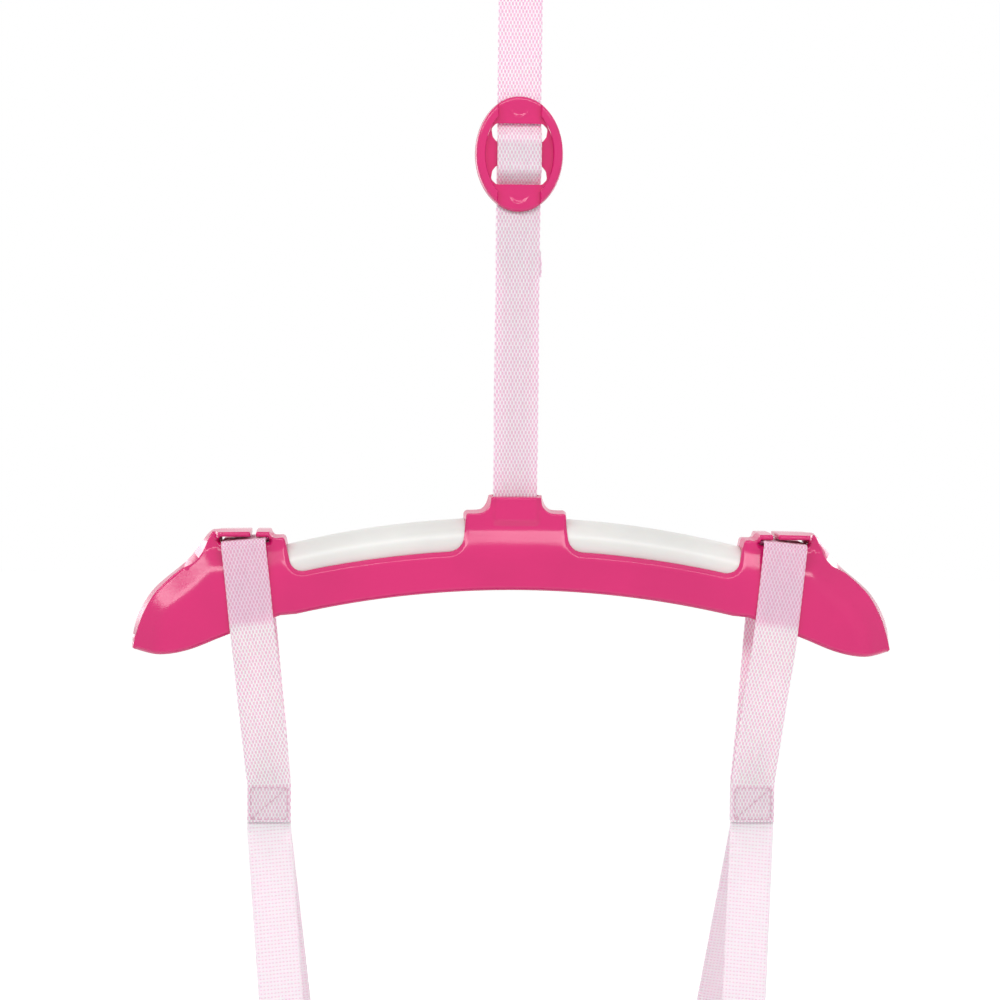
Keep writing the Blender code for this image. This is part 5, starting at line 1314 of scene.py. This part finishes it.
def white_tether():
    """The safety cord, from over the hanger's rod through the coil to under the ring's top."""
    x, radius = -5.0 * MM, 1.3 * MM
    over, under = ROD_RADIUS + GAP + radius, RING_WIRE + GAP + radius
    quarters = HALF_PI * (np.arange(22) - 3) / 9
    top = [(x, over * math.cos(a), ROD_Z + over * math.sin(a)) for a in quarters]
    waves = [(x + radius * t, 3 * MM * math.sin(TAU * 2 * t), COIL_TOP_Z - COIL_LENGTH * t)
             for t in np.linspace(0, 1, 41)]
    foot = [(x + radius, under * math.cos(a), RING_TOP_Z - under * math.sin(a)) for a in quarters[::-1]]
    path = even(catmull([*top, *waves, *foot], 2), 1.4 * MM)[0]
    fall_with_spring(rod("white_tether", path, radius, finish("white_cord_weave"), None, sides=12,
                         slot="white_fabric", replaces=("safety_tether",)))


def web_ring():
    """The steel ring between the spring and the webbing."""
    line = rectangle(RING_HIGH.x - RING_WIRE, (RING_HIGH.z - RING_LOW.z) / 2 - RING_WIRE, 5 * MM, 10)
    path = np.array([(x, 0, (RING_HIGH.z + RING_LOW.z) / 2 + z) for x, z in fine(line, 2 * MM)])
    rod("web_ring", path, RING_WIRE, finish("zinc_steel"), "ring_and_strap", sides=24, closed=True,
        slot="steel", replaces=("strap_ring",))


class JUMPER_OT_spring(bpy.types.Operator):
    """Builds the bounce spring, its caps, its gathered cover, the tether and the ring"""

    bl_idname = "jumper.spring"
    bl_label = "Bounce spring"

    def execute(self, context):
        bounce_coil()
        spring_cup("top", 1, COIL_TOP_Z + 2 * MM, "spring_unit")
        spring_cup("bottom", -1, COIL_BOTTOM_Z - 2 * MM, "spring_foot")
        gathered_cover()
        white_tether()
        web_ring()
        return {"FINISHED"}


# Seat

PANEL_TOP = GAP - RIM_RADIUS
PANEL_HEIGHT = 84 * MM
SLING_DROP = 205 * MM
SLING_LAP = 22 * MM


def hoop_line(count):
    """Points round the hoop's line, in the plane of the hoop."""
    line = np.array([(x, y, 0) for x, y in rectangle(HOOP_HALF_X, HOOP_HALF_Y, HOOP_CORNER, 24)])
    line = np.vstack([line, line[:1]])
    return even(line, lengths(line)[-1] / count)[0][:-1]


def hoop_at(distance):
    """The place on the hoop's line so far round from its front middle, first towards +X."""
    long_side, short_side = HOOP_HALF_X - HOOP_CORNER, HOOP_HALF_Y - HOOP_CORNER
    bend = HALF_PI * HOOP_CORNER
    quarter = long_side + bend + short_side
    if distance < 0:
        x, y, z = hoop_at(-distance)
        return -x, y, z
    if distance > quarter:
        x, y, z = hoop_at(2 * quarter - distance)
        return x, -y, z
    if distance <= long_side:
        return distance, -HOOP_HALF_Y, HOOP_Z
    if distance >= long_side + bend:
        return HOOP_HALF_X, distance - quarter, HOOP_Z
    angle = (distance - long_side) / HOOP_CORNER
    return (math.sin(angle) * HOOP_CORNER + long_side, -math.cos(angle) * HOOP_CORNER - short_side, HOOP_Z)


def rim_pad(name, node, start, end):
    """A stuffed roll round a stretch of the hoop, gathered at its ends, with sewn rounds between."""
    stations, sides, welt_at, bore = 128, 56, 37, 9.3 * MM
    points = np.array([hoop_at(d) for d in np.linspace(start, end, stations)])
    length = abs(end - start)
    at = np.linspace(0, length, stations)
    way = tangents(points)
    side = np.stack([way[:, 1], -way[:, 0], 0 * at], 1)
    angles = np.arange(sides) * TAU / sides
    near = np.minimum(at, length - at)[:, None]
    rounds = max(1, round(length / (46 * MM)))
    seam = np.abs(np.sin(math.pi * rounds * at / length))[:, None]
    full = 1 - 0.30 * np.exp(-near / (6.5 * MM)) - 0.055 * (1 - np.minimum(seam / 0.35, 1)) ** 2
    pleat = np.exp(-near / (9 * MM)) * np.cos(17 * angles + 2 * np.sin(3 * angles)) * 0.9 * MM
    slack = 0.35 * MM * np.sin(5 * angles + at[:, None] * 90) * (1 - seam * 0.5)
    crease = np.exp(-((angles - 4.2) / 0.06) ** 2) * 0.8 * MM * np.minimum(1, near / (10 * MM))
    outside = RIM_RADIUS * full + pleat + slack - 0.5 * MM - crease

    def ring(radius):
        return (points[:, None] + side[:, None] * (radius * np.cos(angles))[..., None]
                + np.array([0, 0, 1.0]) * (radius * np.sin(angles))[..., None])

    rings = np.concatenate([ring(outside), ring(np.full_like(outside, bore))[::-1]])
    made = loft(name, rings, finish("pink_cloth"), "seat", closed=True, slot="pink_fabric", replaces=(node,),
                smooth=50)
    path = ring(outside + 0.4 * MM)[:, welt_at]
    rod(f"{name}_welt", path[6:-6], 1.1 * MM, finish("pale_cloth"), "seat", sides=10, slot="pale_fabric")


def waist_panel():
    """The quilted band below the rim, with a bound edge at its top and bottom."""
    count, rows, channels = 440, 29, 20
    line = hoop_line(count)
    way = tangents(line, closed=True)
    out = np.stack([-way[:, 1], way[:, 0], 0 * way[:, 0]], 1)
    out = out * np.sign(out[0] @ line[0])
    around = (np.arange(count) / count)[None, :]
    down = np.linspace(0, 1, rows)[:, None]
    quilt = np.abs(np.sin(math.pi * channels * around)) ** 0.45
    half = 0.5 * MM + 2.0 * MM * quilt * np.abs(np.sin(math.pi * 3 * down)) ** 0.6
    sag = 1.1 * MM * np.sin(TAU * 7 * around + 0.6) * down**2
    inset = (4 + 6 * down) * MM + 0.8 * MM * np.sin(TAU * 5 * around) * down
    faces = []
    for way_out in (1, -1):
        face = line[None] + out[None] * (way_out * half - inset)[..., None]
        face[..., 2] = HOOP_Z + PANEL_TOP - PANEL_HEIGHT * down + sag
        faces.append(face)
    made = loft("waist_panel", np.concatenate([faces[0], faces[1][::-1]]), finish("pale_cloth"), "seat",
                closed=True, slot="pale_fabric", replaces=("seat_waist_panel",), smooth=50)
    lines = []
    for at in np.arange(channels) * count // channels:
        for face, way_out in zip(faces, (1, -1)):
            lift = out[at] * way_out * 0.1 * MM
            lines += [(face[j][at] + lift, face[j + 4][at] + lift, out[at] * way_out)
                      for j in range(2, rows - 6, 4)]
    stitches("panel_quilting", lines, "seat", length=2.8 * MM, gap=0.9 * MM)
    section = rectangle(2.0 * MM, 3.4 * MM, 1.6 * MM)
    for label, row, lift in (("top", 0, -1.2 * MM), ("bottom", -1, 0.4 * MM)):
        path = (faces[0][row] + faces[1][row]) / 2 + [0, 0, lift]
        loft(f"panel_{label}_binding", swept(path, section, out, closed=True), finish("pink_cloth"), "seat",
             closed=True, slot="pink_fabric")


def crotch_sling():
    """The padded piece that passes between the legs, from the panel's front to its back."""
    bottom = PANEL_TOP - PANEL_HEIGHT
    top = bottom + SLING_LAP
    depth, taper = SLING_DROP + bottom, 6 * MM * (1 - SLING_LAP / PANEL_HEIGHT)
    lap = HOOP_HALF_Y - 4 * MM - taper - 5 * MM - 0.8 * MM
    stations, columns = 81, 33
    shares = np.linspace(-1, 1, stations)
    angle = np.abs(shares) * HALF_PI
    fall = (depth + SLING_LAP) * np.maximum(0, np.cos(angle)) ** 0.9
    middle_line = np.stack([0 * shares, lap * np.sign(shares) * np.sin(angle) ** 0.8, HOOP_Z + top - fall], 1)
    half_width = 52 * MM + 18 * MM * np.abs(shares) ** 1.6
    lift = 16 * MM * (1 - shares**2)
    way = tangents(middle_line)
    normal = np.stack([0 * shares, -way[:, 2], way[:, 1]], 1)[:, None]
    across = np.linspace(-1, 1, columns)
    run = lengths(middle_line)
    pads = np.abs(np.sin(math.pi * run / (run[-1] / 9)))[:, None] ** 0.6
    thin = np.sqrt(np.maximum(0, 1 - np.abs(across) ** 6))
    half = (0.5 * MM + 2.0 * MM * pads * np.abs(np.cos(math.pi * 1.5 * across)) ** 0.4) * thin
    half = np.maximum(half, 0.25 * MM)[..., None]
    base = middle_line[:, None] + np.array([1.0, 0, 0]) * (across * half_width[:, None])[..., None]
    base[..., 2] += lift[:, None] * across**2
    rings = np.concatenate([base + normal * half, (base - normal * half)[:, ::-1]], 1)
    made = loft("crotch_sling", rings, finish("pale_cloth"), "seat", slot="pale_fabric",
                replaces=("seat_crotch_sling",), smooth=50)
    section = circle(2.2 * MM, 12)
    for label, column in (("left", 0), ("right", columns - 1)):
        rings = swept(base[:, column], section, (1, 0, 0))
        loft(f"sling_{label}_binding", rings, finish("pink_cloth"), "seat", slot="pink_fabric")
    lines = []
    for end in (middle_line[0], middle_line[-1]):
        out_y = math.copysign(1, end[1])
        y = end[1] - out_y * 2.6 * MM
        lines += [((-60 * MM, y, HOOP_Z + top - z), (60 * MM, y, HOOP_Z + top - z), (0, -out_y, 0))
                  for z in (4 * MM, 18 * MM)]
    stitches("sling_stitches", lines, "seat")


class JUMPER_OT_seat(bpy.types.Operator):
    """Builds the seat: hoop, padded rim, waist panel and crotch sling"""

    bl_idname = "jumper.seat"
    bl_label = "Seat"

    def execute(self, context):
        line = hoop_line(240) + [0, 0, HOOP_Z]
        rod("hoop", line, HOOP_RADIUS, finish("white_plastic_satin"), "seat", sides=32, closed=True,
            slot="white_plastic", replaces=("seat_hoop",))
        strap_at = HOOP_HALF_X - HOOP_CORNER + HOOP_CORNER * hoop_point(STRAP_SPREAD)[1]
        clear = WEB_WIDTH / 2 + 6.5 * MM
        half_way = 2 * (HOOP_HALF_X + HOOP_HALF_Y - 2 * HOOP_CORNER + HALF_PI * HOOP_CORNER)
        rim_pad("front_roll", "front_rim_pad", clear - strap_at, strap_at - clear)
        rim_pad("right_roll", "right_rim_pad", strap_at + clear, half_way - strap_at - clear)
        rim_pad("rear_roll", "rear_rim_pad", half_way - strap_at + clear, half_way + strap_at - clear)
        rim_pad("left_roll", "left_rim_pad", -strap_at - clear, strap_at + clear - half_way)
        waist_panel()
        crotch_sling()
        return {"FINISHED"}


# Stage

FLOOR_DROP = 0.42
FLOOR_RADIUS = 9.0
LAMP_DISTANCE = 2.3
# Soft boxes: turn round the bar from the front, rise, width, height, glow
LAMPS = (
    ("top_front", -16, 35, 4.2, 0.45, 6.0),
    ("front_fill", 35, 8, 1.6, 1.6, 0.9),
    ("left_rear", -140, 12, 0.9, 2.4, 3.2),
    ("right_rear", 140, 12, 0.9, 2.4, 3.2),
)


def direction(turn, rise):
    """Unit direction at a turn round the front and a rise."""
    return Vector((math.sin(turn) * math.cos(rise), -math.cos(turn) * math.cos(rise), math.sin(rise)))


def seen_rays(n):
    """One for the rays in which a white background shows: straight, mirrored or through glass."""
    rays = n.add("LightPath")
    seen = n.math("MAXIMUM", rays.outputs["Is Camera Ray"], rays.outputs["Is Transmission Ray"])
    return n.math("MAXIMUM", seen, rays.outputs["Is Glossy Ray"])


class JUMPER_OT_stage(bpy.types.Operator):
    """Sets up the camera, the soft studio light and the pale floor"""

    bl_idname = "jumper.stage"
    bl_label = "Stage"

    def execute(self, context):
        scene = context.scene
        scene.view_settings.view_transform = "Standard"
        place = scene.jumper_sizes
        target = Vector((-8.6 * MM, 0, BAR_Z - 3.0 * MM))
        back = direction(place.camera_azimuth, place.camera_elevation)
        lens = bpy.data.cameras.new("camera")
        lens.lens = place.camera_lens
        lens.sensor_width = 36.0
        camera = loose("camera", lens)
        camera.location = target + back * place.camera_distance
        turn = (-back).to_track_quat("-Z", "Y").to_matrix().to_4x4()
        camera.matrix_world = (Matrix.Translation(camera.location) @ turn
                               @ Matrix.Rotation(place.camera_roll, 4, "Z"))
        scene.camera = camera

        round_floor = [(x, y, HOOP_Z - FLOOR_DROP) for x, y in circle(FLOOR_RADIUS, 64)]
        floor = loose("floor", mesh_of("floor", round_floor, [range(64)]))
        floor.data.materials.append(self.floor_material())

        world = bpy.data.worlds.new("studio")
        scene.world = world
        world.use_nodes = True
        n = Nodes(world.node_tree)
        surface = world.node_tree.nodes["Background"]
        n.feed(surface.inputs["Strength"], n.ramp(seen_rays(n), 0.0, 1.0, place.world_light, 1.0))
        surface.inputs["Color"].default_value = (1, 1, 1, 1)
        aim = Vector((0, 0, BAR_Z - 20 * MM))
        for name, turn, rise, width, height, glow in LAMPS:
            way = direction(math.radians(turn), math.radians(rise))
            self.lamp(name, aim + way * LAMP_DISTANCE, aim, width, height, glow)
        return {"FINISHED"}

    def lamp(self, name, place, target, width, height, glow):
        """A soft box that faces a point; its glow is how bright it looks beside white."""
        light = bpy.data.lights.new(name, "AREA")
        light.shape = "RECTANGLE"
        light.size, light.size_y, light.energy = width, height, math.pi * width * height * glow
        made = loose(name, light)
        made.location = place
        made.visible_camera = False
        made.visible_glossy = name != "front_fill"
        made.rotation_euler = (target - place).to_track_quat("-Z", "Y").to_euler()

    def floor_material(self):
        """A pale matt floor."""
        made = bpy.data.materials.new("pale_floor")
        made.use_nodes = True
        n = Nodes(made.node_tree)
        shader = made.node_tree.nodes["Principled BSDF"]
        shader.inputs["Base Color"].default_value = (0.8, 0.8, 0.8, 1)
        shader.inputs["Roughness"].default_value = 0.9
        shader.inputs["Specular IOR Level"].default_value = 0.0
        shader.inputs["Emission Color"].default_value = (1, 1, 1, 1)
        n.feed(shader.inputs["Emission Strength"], n.ramp(seen_rays(n), 0.0, 1.0, 0.0, 0.64))
        return made


# Settings, panel and registration

def colour(name, description, value):
    """A colour setting."""
    return bpy.props.FloatVectorProperty(name=name, description=description, default=value, size=3,
                                         min=0.0, max=1.0, subtype="COLOR")


class JumperColours(bpy.types.PropertyGroup):
    """Colours of the jumper's finishes"""

    pink: colour("Pink plastic", "Glossy plastic of the bar, adjuster, jaws and caps", (0.70, 0.012, 0.165))
    white: colour("White plastic", "Satin tube in the bar, and the seat's hoop", (0.80, 0.79, 0.765))
    steel: colour("Steel", "Zinc-plated steel parts", (0.60, 0.60, 0.62))
    webbing: colour("Webbing", "Light face of the webbing's threads", (0.96, 0.87, 0.92))
    webbing_shade: colour("Webbing gaps", "Shade between the webbing's threads", (0.82, 0.50, 0.64))
    thread: colour("Thread", "Sewing thread", (0.80, 0.45, 0.60))
    pink_cloth: colour("Pink cloth", "Seat rim and spring cover", (0.62, 0.03, 0.19))
    pale_cloth: colour("Pale cloth", "Waist panel and sling", (0.82, 0.62, 0.71))


def amount(name, description, value, **rest):
    """A size setting."""
    return bpy.props.FloatProperty(name=name, description=description, default=value, **rest)


class JumperSizes(bpy.types.PropertyGroup):
    """Sizes of the webbing's weave and the camera's place"""

    weave_across: amount("Weave across", "Width of one woven cell", 1.95 * MM, unit="LENGTH")
    weave_along: amount("Weave along", "Height of one woven row", 2.1 * MM, unit="LENGTH")
    camera_distance: amount("Camera distance", "From camera to bar", 1.45, unit="LENGTH")
    camera_lens: amount("Lens", "Focal length in millimetres", 91.3)
    camera_azimuth: amount("Camera azimuth", "Turn round the bar", math.radians(-3.0), subtype="ANGLE")
    camera_elevation: amount("Camera elevation", "Height over the bar", math.radians(4.0), subtype="ANGLE")
    camera_roll: amount("Camera roll", "Tilt of the picture", math.radians(0.6), subtype="ANGLE")
    world_light: amount("Surround light", "Strength of the even surround", 0.48, min=0.0, max=1.0,
                        subtype="FACTOR")


OPERATORS = (JUMPER_OT_stage, JUMPER_OT_clamp, JUMPER_OT_spring, JUMPER_OT_adjuster, JUMPER_OT_straps,
             JUMPER_OT_bar, JUMPER_OT_loops, JUMPER_OT_seat)


class JUMPER_PT_panel(bpy.types.Panel):
    """The jumper's operators and settings"""

    bl_idname = "JUMPER_PT_panel"
    bl_label = "Doorway jumper"
    bl_space_type = "VIEW_3D"
    bl_region_type = "UI"
    bl_category = "Jumper"

    def draw(self, context):
        for operator in OPERATORS:
            self.layout.operator(operator.bl_idname)
        for settings in (context.scene.jumper_sizes, context.scene.jumper_colours):
            for key in settings.bl_rna.properties.keys():
                if key not in ("rna_type", "name"):
                    self.layout.prop(settings, key)


CLASSES = (JumperColours, JumperSizes, *OPERATORS, JUMPER_PT_panel)


def register():
    """Registers the classes and the settings on the scene."""
    for item in CLASSES:
        bpy.utils.register_class(item)
    bpy.types.Scene.jumper_colours = bpy.props.PointerProperty(type=JumperColours)
    bpy.types.Scene.jumper_sizes = bpy.props.PointerProperty(type=JumperSizes)


def unregister():
    """Removes the settings and the classes."""
    del bpy.types.Scene.jumper_sizes
    del bpy.types.Scene.jumper_colours
    for item in reversed(CLASSES):
        bpy.utils.unregister_class(item)


def main():
    """Runs every operator in order."""
    register()
    for name in ("stage", "clamp", "spring", "adjuster", "straps", "bar", "loops", "seat"):
        getattr(bpy.ops.jumper, name)()


if __name__ == "__main__":
    main()
